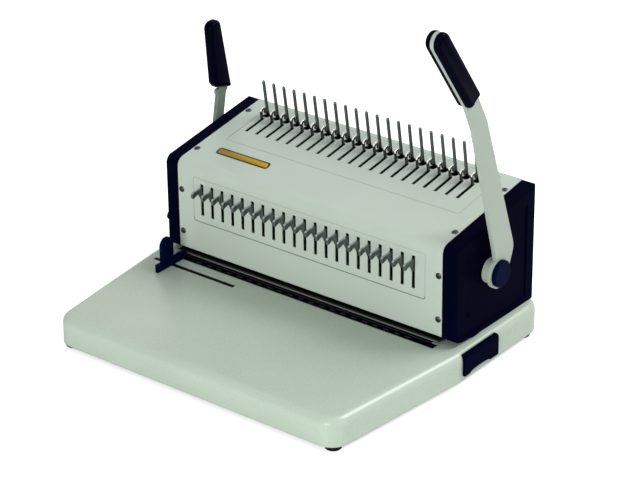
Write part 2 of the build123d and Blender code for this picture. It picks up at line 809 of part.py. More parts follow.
# Pinions on the punch shaft
with BuildPart() as punch_pinions:
    for side in (-1, 1):
        teeth = pinion_points((punch_shaft_y, shaft_z), 180)
        extrude(outline(side_plane(side * punch_rack_inside), teeth), side * pinion_width)
    with BuildSketch(side_plane(-punch_rack_inside - pinion_width)):
        with Locations((punch_shaft_y, shaft_z)):
            RegularPolygon(shaft_radius, round_sides, major_radius=False)
    extrude(amount=2 * (punch_rack_inside + pinion_width), mode=Mode.SUBTRACT)
save(punch_pinions, "punch_pinions")

# Pinions on the opener shaft
with BuildPart() as opener_pinions:
    for side in (-1, 1):
        teeth = pinion_points((opener_along, -opener_depth), 90)
        extrude(outline(slope_plane(side * hook_rack_inside), teeth), side * pinion_width)
    with BuildSketch(side_plane(-hook_rack_inside - pinion_width)):
        with Locations((opener_shaft_y, shaft_z)):
            RegularPolygon(shaft_radius, round_sides, major_radius=False)
    extrude(amount=2 * (hook_rack_inside + pinion_width), mode=Mode.SUBTRACT)
save(opener_pinions, "opener_pinions")

# Round caps over the ends of the shafts
for side, y, reach, radius, name in (
    (1, punch_shaft_y, lever_outside, cap_radius, "punch_lever_cap"),
    (-1, opener_shaft_y, opener_outside, opener_eye_radius - cap_edge, "opener_lever_cap"),
):
    with BuildPart() as cap:
        with BuildSketch(side_plane(side * reach)):
            with Locations((y, shaft_z)):
                Circle(radius)
        extrude(amount=side * cap_thickness)
        chamfer(cap.edges().sort_by(Axis.X)[-1 if side > 0 else 0], cap_edge)
    save(cap, name)

# Punch lever blade: boss, round eye, broad lower arm and a tang inside the grip
lever_plane = Plane(origin=(lever_inside, punch_shaft_y, shaft_z), x_dir=(0, 1, 0), z_dir=(1, 0, 0))
grip_direction = (-sin(radians(grip_lean)), cos(radians(grip_lean)))
grip_plane = Plane(
    origin=lever_plane.from_local_coords((*grip_start, 0)),
    x_dir=(0, grip_direction[0], grip_direction[1]),
    z_dir=(1, 0, 0),
)
with BuildPart() as punch_blade:
    arm = outline(
        lever_plane,
        (*blade_front, *blade_back),
        ((blade_front[1], blade_bend), (blade_back[1], blade_bend / 2)),
    )
    extrude(arm, lever_thickness)
    with BuildSketch(lever_plane):
        Circle(punch_eye_radius)
    extrude(amount=lever_thickness)
    with BuildSketch(lever_plane):
        Circle(boss_radius)
    extrude(amount=-boss_length)
    tang_half = grip_width / 2 - tang_inset
    with BuildSketch(grip_plane):
        with Locations((grip_length / 2, 0)):
            Rectangle(grip_length, 2 * tang_half)
        with Locations((grip_length, 0)):
            Circle(tang_half)
    extrude(amount=lever_thickness)
    grip_foot_front = grip_plane.from_local_coords((0, tang_half, 0))
    grip_foot_back = grip_plane.from_local_coords((0, -tang_half, 0))
    neck_points = [blade_front[2], blade_back[0]]
    for corner in (grip_foot_back, grip_foot_front):
        neck_points.append((corner.Y - punch_shaft_y, corner.Z - shaft_z))
    extrude(outline(lever_plane, neck_points), lever_thickness)
    with BuildSketch(lever_plane.offset(-boss_length)):
        Circle(shaft_radius)
    extrude(amount=boss_length + lever_thickness, mode=Mode.SUBTRACT)
save(punch_blade, "punch_lever_blade")

# Grip scales on both faces of the tang
for offset_x, side, name in (
    (lever_thickness, 1, "punch_grip_outer"),
    (0, -1, "punch_grip_inner"),
):
    with BuildPart() as scale:
        with BuildSketch(grip_plane.offset(offset_x)) as scale_face:
            with Locations((grip_length / 2, 0)):
                Rectangle(grip_length, grip_width)
            fillet(scale_face.vertices().group_by(Axis.X)[0], scale_edge)
            with Locations((grip_length, 0)):
                Circle(grip_width / 2)
        extrude(amount=side * scale_thickness)
        scale_rim = scale.faces().sort_by(Axis.X)[-1 if side > 0 else 0]
        chamfer(scale_rim.edges(), scale_bevel)
        with BuildSketch(grip_plane.offset(offset_x)):
            with Locations((0, -scale_notch / 2)):
                Circle(scale_notch)
        extrude(amount=side * scale_thickness, mode=Mode.SUBTRACT)
    save(scale, name)

# Opening lever bar, leaning back, with its boss, a shoulder and a tang inside the grip
opener_plane = Plane(
    origin=(-opener_inside, opener_shaft_y, shaft_z),
    x_dir=(0, sin(radians(opener_lean)), cos(radians(opener_lean))),
    z_dir=(1, 0, 0),
)
opener_grip_lean = radians(opener_lean - opener_bend)
opener_grip_plane = Plane(
    origin=opener_plane.from_local_coords((opener_bar_length, 0, 0)),
    x_dir=(0, sin(opener_grip_lean), cos(opener_grip_lean)),
    z_dir=(1, 0, 0),
)
with BuildPart() as opener_bar:
    with BuildSketch(opener_plane):
        with Locations((opener_bar_length / 2, 0)):
            Rectangle(opener_bar_length, opener_bar_width)
        Circle(opener_eye_radius)
    extrude(amount=-lever_thickness)
    with BuildSketch(opener_grip_plane):
        with Locations((-opener_shoulder / 2, opener_shoulder_shift)):
            RectangleRounded(opener_shoulder, opener_shoulder_width, opener_corner)
        with Locations((opener_tang_length / 2, 0)):
            Rectangle(opener_tang_length, opener_tang_width)
    extrude(amount=-lever_thickness)
    with BuildSketch(opener_plane):
        Circle(opener_eye_radius)
    extrude(amount=opener_boss_length)
    with BuildSketch(opener_plane.offset(opener_boss_length)):
        Circle(shaft_radius)
    extrude(amount=-opener_boss_length - lever_thickness, mode=Mode.SUBTRACT)
    with BuildSketch(opener_grip_plane):
        with Locations((opener_grip_length / 2, 0)):
            Rectangle(opener_grip_length, opener_grip_bottom)
        with Locations((opener_tang_length / 2, 0)):
            Rectangle(opener_tang_length, opener_tang_width, mode=Mode.SUBTRACT)
    extrude(amount=-lever_thickness, mode=Mode.SUBTRACT)
save(opener_bar, "opener_lever_bar")

# One-piece grip pushed over the tang, narrower towards its end
grip_narrowing = (opener_grip_bottom - opener_grip_top) / 2
grip_points = (
    (0, -opener_grip_bottom / 2),
    (opener_grip_length, -opener_grip_bottom / 2 + grip_narrowing),
    (opener_grip_length, opener_grip_bottom / 2 - grip_narrowing),
    (0, opener_grip_bottom / 2),
)
grip_rounds = ((grip_points[1], opener_grip_edge), (grip_points[2], opener_grip_edge))
grip_out = (opener_grip_thickness - lever_thickness) / 2
with BuildPart() as opener_grip:
    grip_face = outline(opener_grip_plane.offset(grip_out), grip_points, grip_rounds)
    extrude(grip_face, -opener_grip_thickness)
    chamfer(opener_grip.faces().filter_by(Axis.X).edges(), opener_grip_bevel)
    with BuildSketch(opener_grip_plane):
        with Locations((opener_tang_length / 2, 0)):
            Rectangle(opener_tang_length, opener_tang_width)
    extrude(amount=-lever_thickness, mode=Mode.SUBTRACT)
save(opener_grip, "opener_lever_grip")

# Hook carriage: a bar under the top of the head with a slotted rack plate at each end
hook_bar_low = hook_bar_depth + hook_bar_height
hook_rack = rack_points(hook_rack_front - opener_along, hook_rack_back - opener_along)
rack_top = -(hook_rack_line - hook_rack_body)
hook_rack_outline = [(opener_along + s, -hook_rack_line - h) for s, h in hook_rack]
hook_rack_outline += [
    (hook_rack_back, rack_top),
    (hook_bar_back, rack_top),
    (hook_bar_back, -hook_bar_low),
    (hook_bar_front, -hook_bar_low),
    (hook_bar_front, rack_top),
    (hook_rack_front, rack_top),
]
with BuildPart() as hook_carriage:
    with BuildSketch(slope_plane(-hook_bar_half_width)):
        with Locations(((hook_bar_front + hook_bar_back) / 2, -(hook_bar_depth + hook_bar_low) / 2)):
            Rectangle(hook_bar_back - hook_bar_front, hook_bar_height)
    extrude(amount=2 * hook_bar_half_width)
    for side in (-1, 1):
        plate = outline(slope_plane(side * hook_rack_inside), hook_rack_outline)
        extrude(plate, side * rack_width)
    first_stud = min(hook_stud_places) - hook_stud_radius - hole_play
    last_stud = max(hook_stud_places) + hook_stud_radius + hole_play + opener_travel
    with BuildSketch(slope_plane(-hook_rack_inside - rack_width)):
        with Locations(((first_stud + last_stud) / 2, -(hook_rack_line - hook_stud_depth))):
            Rectangle(last_stud - first_stud, 2 * (hook_stud_radius + running))
    extrude(amount=2 * (hook_rack_inside + rack_width), mode=Mode.SUBTRACT)
save(hook_carriage, "hook_carriage")

# Comb hooks: bent blades that stand in the slots of the top
hook_leg_front = hook_leg_back - hook_leg
hook_tip_front = hook_leg_back + 2 * hook_inner_radius
hook_tip_back = hook_tip_front + hook_tip_width
hook_outer_radius = (hook_tip_back - hook_leg_front) / 2
hook_middle = (hook_leg_front + hook_outer_radius, hook_height - hook_outer_radius)
hook_inner_middle = hook_leg_back + hook_inner_radius
hook_turns = [pi * (1 - step / hook_steps) for step in range(hook_steps + 1)]
hook_points = [(hook_leg_front, -hook_bar_depth)]
for turn in hook_turns:
    u = hook_middle[0] + hook_outer_radius * cos(turn)
    hook_points.append((u, hook_middle[1] + hook_outer_radius * sin(turn)))
hook_points += [(hook_tip_back, hook_tip_height), (hook_tip_front, hook_tip_height)]
for turn in reversed(hook_turns):
    u = hook_inner_middle + hook_inner_radius * cos(turn)
    hook_points.append((u, hook_middle[1] + hook_inner_radius * sin(turn)))
hook_points.append((hook_leg_back, -hook_bar_depth))
with BuildPart() as comb_hooks:
    for x in top_row:
        hook = outline(slope_plane(x - hook_thickness / 2), hook_points)
        extrude(hook, hook_thickness)
save(comb_hooks, "comb_hooks")

# Bar between the side frames that holds the comb pins
pin_bar_middle = (pin_bar_front + pin_bar_back) / 2
with BuildPart() as pin_bar:
    with BuildSketch(top_plane.offset(-hook_bar_low)):
        with Locations((0, pin_bar_middle)):
            Rectangle(2 * frame_inside, pin_bar_back - pin_bar_front)
    extrude(amount=hook_bar_height)
    with BuildSketch(top_plane.offset(-hook_bar_depth)):
        with Locations(*[(x, pin_place) for x in top_row]):
            RegularPolygon(pin_radius, small_sides)
    extrude(amount=-pin_seat, mode=Mode.SUBTRACT)
save(pin_bar, "pin_bar")

# Comb pins, square to the sloping top
with BuildPart() as comb_pins:
    with BuildSketch(top_plane.offset(-hook_bar_depth - pin_seat)):
        with Locations(*[(x, pin_place) for x in top_row]):
            RegularPolygon(pin_radius, small_sides)
    extrude(amount=hook_bar_depth + pin_seat + pin_height)
    pin_ends = comb_pins.faces().filter_by(top_plane).group_by(Axis.Z)[-1]
    chamfer(pin_ends.edges(), pin_tip)
save(comb_pins, "comb_pins")

# Edge guide: low fence with a tall tab, a stem through the slot and a foot below
with BuildPart() as edge_guide:
    fence_bottom = base_top + seam
    with BuildSketch(side_plane(fence_x - fence_thickness / 2)) as fence_face:
        with Locations(((fence_front + fence_back) / 2, fence_bottom)):
            Rectangle(fence_back - fence_front, fence_height, align=(Align.CENTER, Align.MIN))
        with Locations(((tab_front + tab_back) / 2, fence_bottom)):
            Rectangle(tab_back - tab_front, tab_height, align=(Align.CENTER, Align.MIN))
        fillet(fence_face.vertices().group_by(Axis.Y)[-1], (tab_back - tab_front) / 2 - play)
    extrude(amount=fence_thickness)
    with BuildSketch(Plane.XY.offset(fence_bottom)):
        with Locations((fence_x, guide_slot_y)):
            SlotOverall(guide_stem_length, guide_slot_width - 2 * play)
    extrude(amount=-base_wall - 2 * seam)
    with BuildSketch(Plane.XY.offset(base_top - base_wall - seam)):
        with Locations((fence_x, guide_slot_y)):
            Rectangle(guide_foot_length, guide_foot_width)
    extrude(amount=-guide_foot_thickness)
save(edge_guide, "edge_guide")

# Chip tray that slides out to the right, open above, with a scooped front
with BuildPart() as chip_tray:
    with BuildSketch(Plane.XY.offset(tray_bottom)):
        tray_length = base_half_width - base_wall - tray_inner_end
        with Locations((tray_inner_end + tray_length / 2, tray_middle)):
            Rectangle(tray_length, tray_front_end - tray_front_start - 2 * tray_side_step)
    extrude(amount=tray_top - tray_bottom)
    offset(amount=-tray_wall, openings=chip_tray.faces().sort_by(Axis.Z)[-1])
    with BuildSketch(side_plane(base_half_width - base_wall)):
        with Locations((tray_middle, (tray_bottom + tray_front_top) / 2)):
            Rectangle(tray_front_end - tray_front_start, tray_front_top - tray_bottom)
        with Locations((tray_middle - tray_side_step, tray_bottom)):
            Ellipse(tray_scoop_half_length, tray_scoop_depth, mode=Mode.SUBTRACT)
    extrude(amount=tray_front_out - base_half_width + base_wall)
    tray_edges = chip_tray.faces().sort_by(Axis.X)[-1].edges()
    fillet(tray_edges.sort_by(Axis.Z)[-1], tray_corner)
save(chip_tray, "chip_tray")
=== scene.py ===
import json
from math import cos, pi, radians, sin, sqrt

import bmesh
import bpy
from mathutils import Matrix, Vector


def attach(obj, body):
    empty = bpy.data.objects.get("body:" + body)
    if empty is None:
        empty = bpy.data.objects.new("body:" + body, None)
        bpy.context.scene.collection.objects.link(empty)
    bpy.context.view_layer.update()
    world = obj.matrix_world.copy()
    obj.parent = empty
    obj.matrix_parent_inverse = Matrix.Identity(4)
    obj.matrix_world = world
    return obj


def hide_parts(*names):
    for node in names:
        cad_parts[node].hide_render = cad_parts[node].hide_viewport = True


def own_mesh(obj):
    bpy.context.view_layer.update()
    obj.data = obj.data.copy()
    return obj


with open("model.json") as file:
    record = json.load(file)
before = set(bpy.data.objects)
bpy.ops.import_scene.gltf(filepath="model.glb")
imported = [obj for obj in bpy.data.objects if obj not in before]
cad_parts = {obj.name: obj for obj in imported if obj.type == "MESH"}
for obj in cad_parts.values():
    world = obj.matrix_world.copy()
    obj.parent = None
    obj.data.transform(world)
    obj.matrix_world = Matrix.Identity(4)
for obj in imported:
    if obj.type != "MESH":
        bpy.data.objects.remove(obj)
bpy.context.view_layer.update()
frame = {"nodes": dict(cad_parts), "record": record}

# Sizes of the machine, in metres, that the pieces made here seat on
MM = 0.001
HOLES = 21
PITCH = 14.2875 * MM
FRONT_ROW_SHIFT = -1.4 * MM
TOP_ROW_SHIFT = -5.1 * MM
BASE_TOP = 38.0 * MM
HEAD_CORNER = 151.2 * MM
HEAD_SLOPE = radians(8.6)
SHAFT_HEIGHT = 105.5 * MM
# The head's middle plane and front face, from the origin in the middle of the machine
HEAD_MIDDLE = 0.75 * MM
HEAD_FRONT = 22.5 * MM
# Rows on the sloping top, up the slope from the head's front corner
HOOK_ROW = 113.6 * MM
PIN_HOLE_ROW = 121.0 * MM
PIN_ROW = 122.6 * MM
# The edge guide's slot, in the base in front of the head
GUIDE_SLOT_MIDDLE = -133.0 * MM
GUIDE_SLOT_HALF = 57.2 * MM
GUIDE_SLOT_AHEAD = 30.0 * MM

# Camera, fitted to the photograph
CAMERA_PLACE = (1.50351, -1.86898, 1.32056)
CAMERA_RIGHT = (0.788524, 0.614910, -0.010774)
CAMERA_UP = (-0.270913, 0.363022, 0.891527)
CAMERA_BACK = (0.552120, -0.700072, 0.452839)
FOCAL_PIXELS = 2535.6
IMAGE_WIDTH = 628
SENSOR = 36.0

# Name, place, point it is aimed at, size in metres and power in watts of each lamp
LAMPS = (
    ("key", (0.9, 1.1, 1.8), (0.0, 0.0, 0.1), 1.1, 33),
    ("side", (2.1, -0.3, 1.0), (0.1, 0.0, 0.1), 0.6, 2.5),
    ("front", (0.5, -2.1, 0.6), (0.05, 0.0, 0.05), 0.7, 27),
)
WHITE = (1.0, 1.0, 1.0, 1.0)
SKY_COLOR = (0.97, 0.99, 1.0, 1.0)
SKY_STRENGTH = 0.42
FLOOR_SIZE = 6.0
FLOOR_GLOW = 0.6

# Values that all the surfaces share
NOISE_LOW = 0.3
NOISE_HIGH = 0.7
ROUGHNESS_SWING = 0.06
MARK_STRENGTH = 0.5
MARK_DEPTH = 1.5
RUBBED_LIGHTER = 1.25
PANEL_SHADE_SHARE = 0.25
PANEL_STEP = 0.35 * MM


def in_metres(points):
    """Tuples of millimetres turned into tuples of metres."""
    return [tuple(value * MM for value in point) for point in points]


def set_of_axes(origin, first, second, third):
    """Matrix that places a piece drawn on its own axes."""
    turn = Matrix((first, second, third)).transposed().to_4x4()
    return Matrix.Translation(origin) @ turn


# Over the sloping top: X along the machine, Y up the slope, Z out of the sheet
SLOPE_AXES = set_of_axes(
    (HEAD_MIDDLE, HEAD_FRONT, HEAD_CORNER),
    (1, 0, 0),
    (0, cos(HEAD_SLOPE), sin(HEAD_SLOPE)),
    (0, -sin(HEAD_SLOPE), cos(HEAD_SLOPE)),
)


def row(shift):
    """Places of one row along the machine, from the head's middle plane."""
    return [shift + (i - (HOLES - 1) / 2) * PITCH for i in range(HOLES)]


# Steps that the materials are built from


def math_node(tree, operation, first, second=None):
    """Math node of a tree on sockets or numbers; returns its output."""
    node = tree.nodes.new("ShaderNodeMath")
    node.operation = operation
    for place, value in enumerate((first, second)):
        if value is None:
            continue
        if isinstance(value, (int, float)):
            node.inputs[place].default_value = value
        else:
            tree.links.new(value, node.inputs[place])
    return node.outputs["Value"]


def away_from(tree, value, middle):
    """Distance of a value from a middle, on either side."""
    return math_node(tree, "ABSOLUTE", math_node(tree, "SUBTRACT", value, middle))


def ramp(tree, value, start, end):
    """Smooth step from 0 at start to 1 at end."""
    node = tree.nodes.new("ShaderNodeMapRange")
    node.interpolation_type = "SMOOTHSTEP"
    node.inputs["From Min"].default_value = start
    node.inputs["From Max"].default_value = end
    tree.links.new(value, node.inputs["Value"])
    return node.outputs["Result"]


def color_mix(tree, factor, first, second):
    """Colour between two, each a socket or a colour."""
    mix = tree.nodes.new("ShaderNodeMix")
    mix.data_type = "RGBA"
    for label, value in (("A", first), ("B", second)):
        if isinstance(value, tuple):
            mix.inputs[label].default_value = (*value, 1.0)
        else:
            tree.links.new(value, mix.inputs[label])
    tree.links.new(factor, mix.inputs["Factor"])
    return mix.outputs["Result"]


def shade(color, share):
    """The colour made darker or lighter, white at most."""
    return tuple(min(value * share, 1.0) for value in color)


def bump(tree, height, distance, normal):
    """Normal bent by a height that is worth a distance."""
    node = tree.nodes.new("ShaderNodeBump")
    node.inputs["Strength"].default_value = 1.0
    node.inputs["Distance"].default_value = distance
    tree.links.new(height, node.inputs["Height"])
    tree.links.new(normal, node.inputs["Normal"])
    return node.outputs["Normal"]


def place_on_machine(tree):
    """The point's X, Y and Z on the machine, whose axes the nodes share."""
    place = tree.nodes.new("ShaderNodeTexCoord")
    parts = tree.nodes.new("ShaderNodeSeparateXYZ")
    tree.links.new(place.outputs["Object"], parts.inputs["Vector"])
    return [parts.outputs[axis] for axis in "XYZ"]


# Node groups shared by the materials


def group_with(name, inputs, outputs):
    """Empty node group with the given sockets; returns it with its input and output nodes."""
    group = bpy.data.node_groups.new(name, "ShaderNodeTree")
    for label, kind, value in inputs:
        socket = group.interface.new_socket(label, in_out="INPUT", socket_type=kind)
        socket.default_value = value
    for label, kind in outputs:
        group.interface.new_socket(label, in_out="OUTPUT", socket_type=kind)
    return group, group.nodes.new("NodeGroupInput"), group.nodes.new("NodeGroupOutput")


def put_group(tree, group):
    """Node that uses a shared group in a material."""
    node = tree.nodes.new("ShaderNodeGroup")
    node.node_tree = group
    return node


def make_grain_group():
    """Fine moulded or painted grain: a height, a slow change of tone and a few faint marks."""
    group, given, result = group_with(
        "surface_grain",
        (("Scale", "NodeSocketFloat", 900.0), ("Detail", "NodeSocketFloat", 4.0)),
        (
            ("Height", "NodeSocketFloat"),
            ("Tone", "NodeSocketFloat"),
            ("Marks", "NodeSocketFloat"),
        ),
    )
    nodes = group.nodes
    links = group.links
    place = nodes.new("ShaderNodeTexCoord")
    fine = nodes.new("ShaderNodeTexNoise")
    fine.inputs["Roughness"].default_value = 0.6
    links.new(place.outputs["Object"], fine.inputs["Vector"])
    links.new(given.outputs["Scale"], fine.inputs["Scale"])
    links.new(given.outputs["Detail"], fine.inputs["Detail"])
    slow = nodes.new("ShaderNodeTexNoise")
    slow.inputs["Scale"].default_value = 7.0
    slow.inputs["Detail"].default_value = 3.0
    links.new(place.outputs["Object"], slow.inputs["Vector"])
    marks = nodes.new("ShaderNodeTexNoise")
    marks.inputs["Scale"].default_value = 55.0
    marks.inputs["Detail"].default_value = 5.0
    marks.inputs["Roughness"].default_value = 0.7
    links.new(place.outputs["Object"], marks.inputs["Vector"])
    worn = nodes.new("ShaderNodeMapRange")
    worn.inputs["From Min"].default_value = 0.62
    worn.inputs["From Max"].default_value = 0.78
    links.new(marks.outputs["Fac"], worn.inputs["Value"])
    links.new(fine.outputs["Fac"], result.inputs["Height"])
    links.new(slow.outputs["Fac"], result.inputs["Tone"])
    links.new(worn.outputs["Result"], result.inputs["Marks"])
    return group


def make_brush_group():
    """Brushed or ground streaks along X: a height, a tone and marks."""
    group, given, result = group_with(
        "brushed_streaks",
        (("Across", "NodeSocketFloat", 1400.0), ("Along", "NodeSocketFloat", 25.0)),
        (
            ("Height", "NodeSocketFloat"),
            ("Tone", "NodeSocketFloat"),
            ("Marks", "NodeSocketFloat"),
        ),
    )
    nodes = group.nodes
    links = group.links
    place = nodes.new("ShaderNodeTexCoord")
    stretch = nodes.new("ShaderNodeCombineXYZ")
    links.new(given.outputs["Along"], stretch.inputs["X"])
    links.new(given.outputs["Across"], stretch.inputs["Y"])
    links.new(given.outputs["Across"], stretch.inputs["Z"])
    scale = nodes.new("ShaderNodeVectorMath")
    scale.operation = "MULTIPLY"
    links.new(place.outputs["Object"], scale.inputs[0])
    links.new(stretch.outputs["Vector"], scale.inputs[1])
    streaks = nodes.new("ShaderNodeTexNoise")
    streaks.inputs["Scale"].default_value = 1.0
    streaks.inputs["Detail"].default_value = 3.0
    links.new(scale.outputs["Vector"], streaks.inputs["Vector"])
    worn = nodes.new("ShaderNodeMapRange")
    worn.inputs["From Min"].default_value = 0.60
    worn.inputs["From Max"].default_value = 0.75
    links.new(streaks.outputs["Fac"], worn.inputs["Value"])
    links.new(streaks.outputs["Fac"], result.inputs["Height"])
    links.new(streaks.outputs["Fac"], result.inputs["Tone"])
    links.new(worn.outputs["Result"], result.inputs["Marks"])
    return group


def make_edge_group():
    """Softly rounded edges: their normal, and a mask of the edges, which carries wear on paints
    and plastics and painted light on the metals.
    """
    group, given, result = group_with(
        "rubbed_edges",
        (("Radius", "NodeSocketFloat", 0.4 * MM),),
        (("Normal", "NodeSocketVector"), ("WearAndLight", "NodeSocketFloat")),
    )
    rounded = group.nodes.new("ShaderNodeBevel")
    rounded.samples = 6
    group.links.new(given.outputs["Radius"], rounded.inputs["Radius"])
    flat = group.nodes.new("ShaderNodeNewGeometry")
    turn = group.nodes.new("ShaderNodeVectorMath")
    turn.operation = "DOT_PRODUCT"
    group.links.new(rounded.outputs["Normal"], turn.inputs[0])
    group.links.new(flat.outputs["Normal"], turn.inputs[1])
    untouched = 0.99
    fullest_at = 0.8
    strength = 0.6
    mask = ramp(group, turn.outputs["Value"], untouched, fullest_at)
    rubbed = math_node(group, "MULTIPLY", mask, strength)
    group.links.new(rounded.outputs["Normal"], result.inputs["Normal"])
    group.links.new(rubbed, result.inputs["WearAndLight"])
    return group


def make_bright_face_group():
    """Mask of the faces turned to one side, which take a painted highlight."""
    group, given, result = group_with(
        "bright_faces",
        (("Side", "NodeSocketVector", (0.0, 0.0, 1.0)),),
        (("Bright", "NodeSocketFloat"),),
    )
    place = group.nodes.new("ShaderNodeTexCoord")
    facing = group.nodes.new("ShaderNodeVectorMath")
    facing.operation = "DOT_PRODUCT"
    group.links.new(place.outputs["Normal"], facing.inputs[0])
    group.links.new(given.outputs["Side"], facing.inputs[1])
    dull_below = 0.1
    bright_above = 0.55
    bright = ramp(group, facing.outputs["Value"], dull_below, bright_above)
    group.links.new(bright, result.inputs["Bright"])
    return group


def panel_distance(tree, across, up, middle, half, corner):
    """Signed distance from a rounded rectangle's outline, negative inside."""
    parts = []
    for value, place, reach in ((across, middle[0], half[0]), (up, middle[1], half[1])):
        parts.append(math_node(tree, "SUBTRACT", away_from(tree, value, place), reach - corner))
    outer = [math_node(tree, "MAXIMUM", part, 0.0) for part in parts]
    squares = [math_node(tree, "MULTIPLY", part, part) for part in outer]
    outside = math_node(tree, "SQRT", math_node(tree, "ADD", *squares))
    inside = math_node(tree, "MINIMUM", math_node(tree, "MAXIMUM", *parts), 0.0)
    return math_node(tree, "SUBTRACT", math_node(tree, "ADD", outside, inside), corner)


def make_panel_group():
    """The two panels pressed into the sheet cover: a height, and a line of painted shade along
    their edges.
    """
    front_reach = HEAD_FRONT + 2.0 * MM
    lower_edge = BASE_TOP + 50.0 * MM
    half_wall = 0.7 * MM
    shade_outside = 1.0 * MM
    shade_inside = 0.3 * MM
    top_shade = 0.35
    front_shade = 0.25
    more_shade_below = 0.5
    group, _, result = group_with(
        "pressed_panels",
        (),
        (("Height", "NodeSocketFloat"), ("Line", "NodeSocketFloat")),
    )
    across, back, up = place_on_machine(group)
    front = panel_distance(
        group, across, up,
        middle=(HEAD_MIDDLE, BASE_TOP + 72.0 * MM), half=(156.5 * MM, 26.3 * MM), corner=3.0 * MM,
    )
    top = panel_distance(
        group, across, back,
        middle=(HEAD_MIDDLE, HEAD_FRONT + 98.0 * MM), half=(157.0 * MM, 40.0 * MM),
        corner=4.0 * MM,
    )
    on_front = math_node(group, "LESS_THAN", back, front_reach)
    on_top = math_node(group, "SUBTRACT", 1.0, on_front)
    # The painted shade is strongest along the front panel's lower edge
    low = math_node(group, "LESS_THAN", up, lower_edge)
    front_shade_strength = math_node(group, "ADD", math_node(group, "MULTIPLY", low, more_shade_below), front_shade)
    heights = []
    shade_lines = []
    for distance, here, strength in ((front, on_front, front_shade_strength), (top, on_top, top_shade)):
        sunk = ramp(group, distance, half_wall, -half_wall)
        heights.append(math_node(group, "MULTIPLY", sunk, here))
        near = math_node(group, "ABSOLUTE", distance)
        edge = math_node(group, "MULTIPLY", ramp(group, near, shade_outside, shade_inside), here)
        shade_lines.append(math_node(group, "MULTIPLY", edge, strength))
    group.links.new(math_node(group, "ADD", *heights), result.inputs["Height"])
    group.links.new(math_node(group, "ADD", *shade_lines), result.inputs["Line"])
    return group


GRAIN = make_grain_group()
BRUSH = make_brush_group()
EDGES = make_edge_group()
BRIGHT_FACES = make_bright_face_group()
PANELS = make_panel_group()


# Masks of painted shade, each in one material


def inside_slot(tree):
    """1 on the unlit walls of the edge guide's slot and inside the base, 0 elsewhere."""
    half_width = 2.75 * MM
    wider_below = 3.0 * MM
    rim = 0.2 * MM
    across, back, up = place_on_machine(tree)
    from_middle = away_from(tree, across, GUIDE_SLOT_MIDDLE)
    inside = math_node(tree, "LESS_THAN", from_middle, GUIDE_SLOT_HALF)
    off_line = away_from(tree, back, HEAD_FRONT - GUIDE_SLOT_AHEAD)
    below = math_node(tree, "LESS_THAN", up, BASE_TOP - rim)
    reach = math_node(tree, "ADD", math_node(tree, "MULTIPLY", below, wider_below), half_width)
    return math_node(tree, "MULTIPLY", inside, math_node(tree, "LESS_THAN", off_line, reach))


def pin_hole_shade(tree):
    """1 on the painted shade round the feet of the pins, 0 elsewhere on the covers."""
    half_width = 4.3 * MM
    half_length = 5.2 * MM
    outside = 1.15
    inside = 0.85
    across, back, up = place_on_machine(tree)
    offset = math_node(tree, "SUBTRACT", across, HEAD_MIDDLE + TOP_ROW_SHIFT)
    shifted = math_node(tree, "ADD", offset, PITCH / 2)
    folded = math_node(tree, "FLOORED_MODULO", shifted, PITCH)
    from_pin = math_node(tree, "SUBTRACT", folded, PITCH / 2)
    sideways = math_node(tree, "DIVIDE", from_pin, half_width)
    foot = HEAD_FRONT + PIN_HOLE_ROW * cos(HEAD_SLOPE)
    lengthways = math_node(tree, "DIVIDE", math_node(tree, "SUBTRACT", back, foot), half_length)
    squares = [math_node(tree, "MULTIPLY", part, part) for part in (sideways, lengthways)]
    hole = ramp(tree, math_node(tree, "ADD", *squares), outside, inside)
    in_row = math_node(tree, "LESS_THAN", math_node(tree, "ABSOLUTE", offset), HOLES * PITCH / 2)
    on_top = math_node(tree, "GREATER_THAN", up, HEAD_CORNER)
    return math_node(tree, "MULTIPLY", hole, math_node(tree, "MULTIPLY", in_row, on_top))


def pin_foot_shade(tree):
    """1 on the painted shade at the feet of the pins, close to the sloping top, 0 higher up."""
    darkest_up_to = 3.5 * MM
    clear_from = 6.5 * MM
    _, y, z = place_on_machine(tree)
    back = math_node(tree, "SUBTRACT", y, HEAD_FRONT)
    up = math_node(tree, "SUBTRACT", z, HEAD_CORNER)
    fall = math_node(tree, "MULTIPLY", back, sin(HEAD_SLOPE))
    height = math_node(tree, "SUBTRACT", math_node(tree, "MULTIPLY", up, cos(HEAD_SLOPE)), fall)
    return ramp(tree, height, clear_from, darkest_up_to)


# Materials


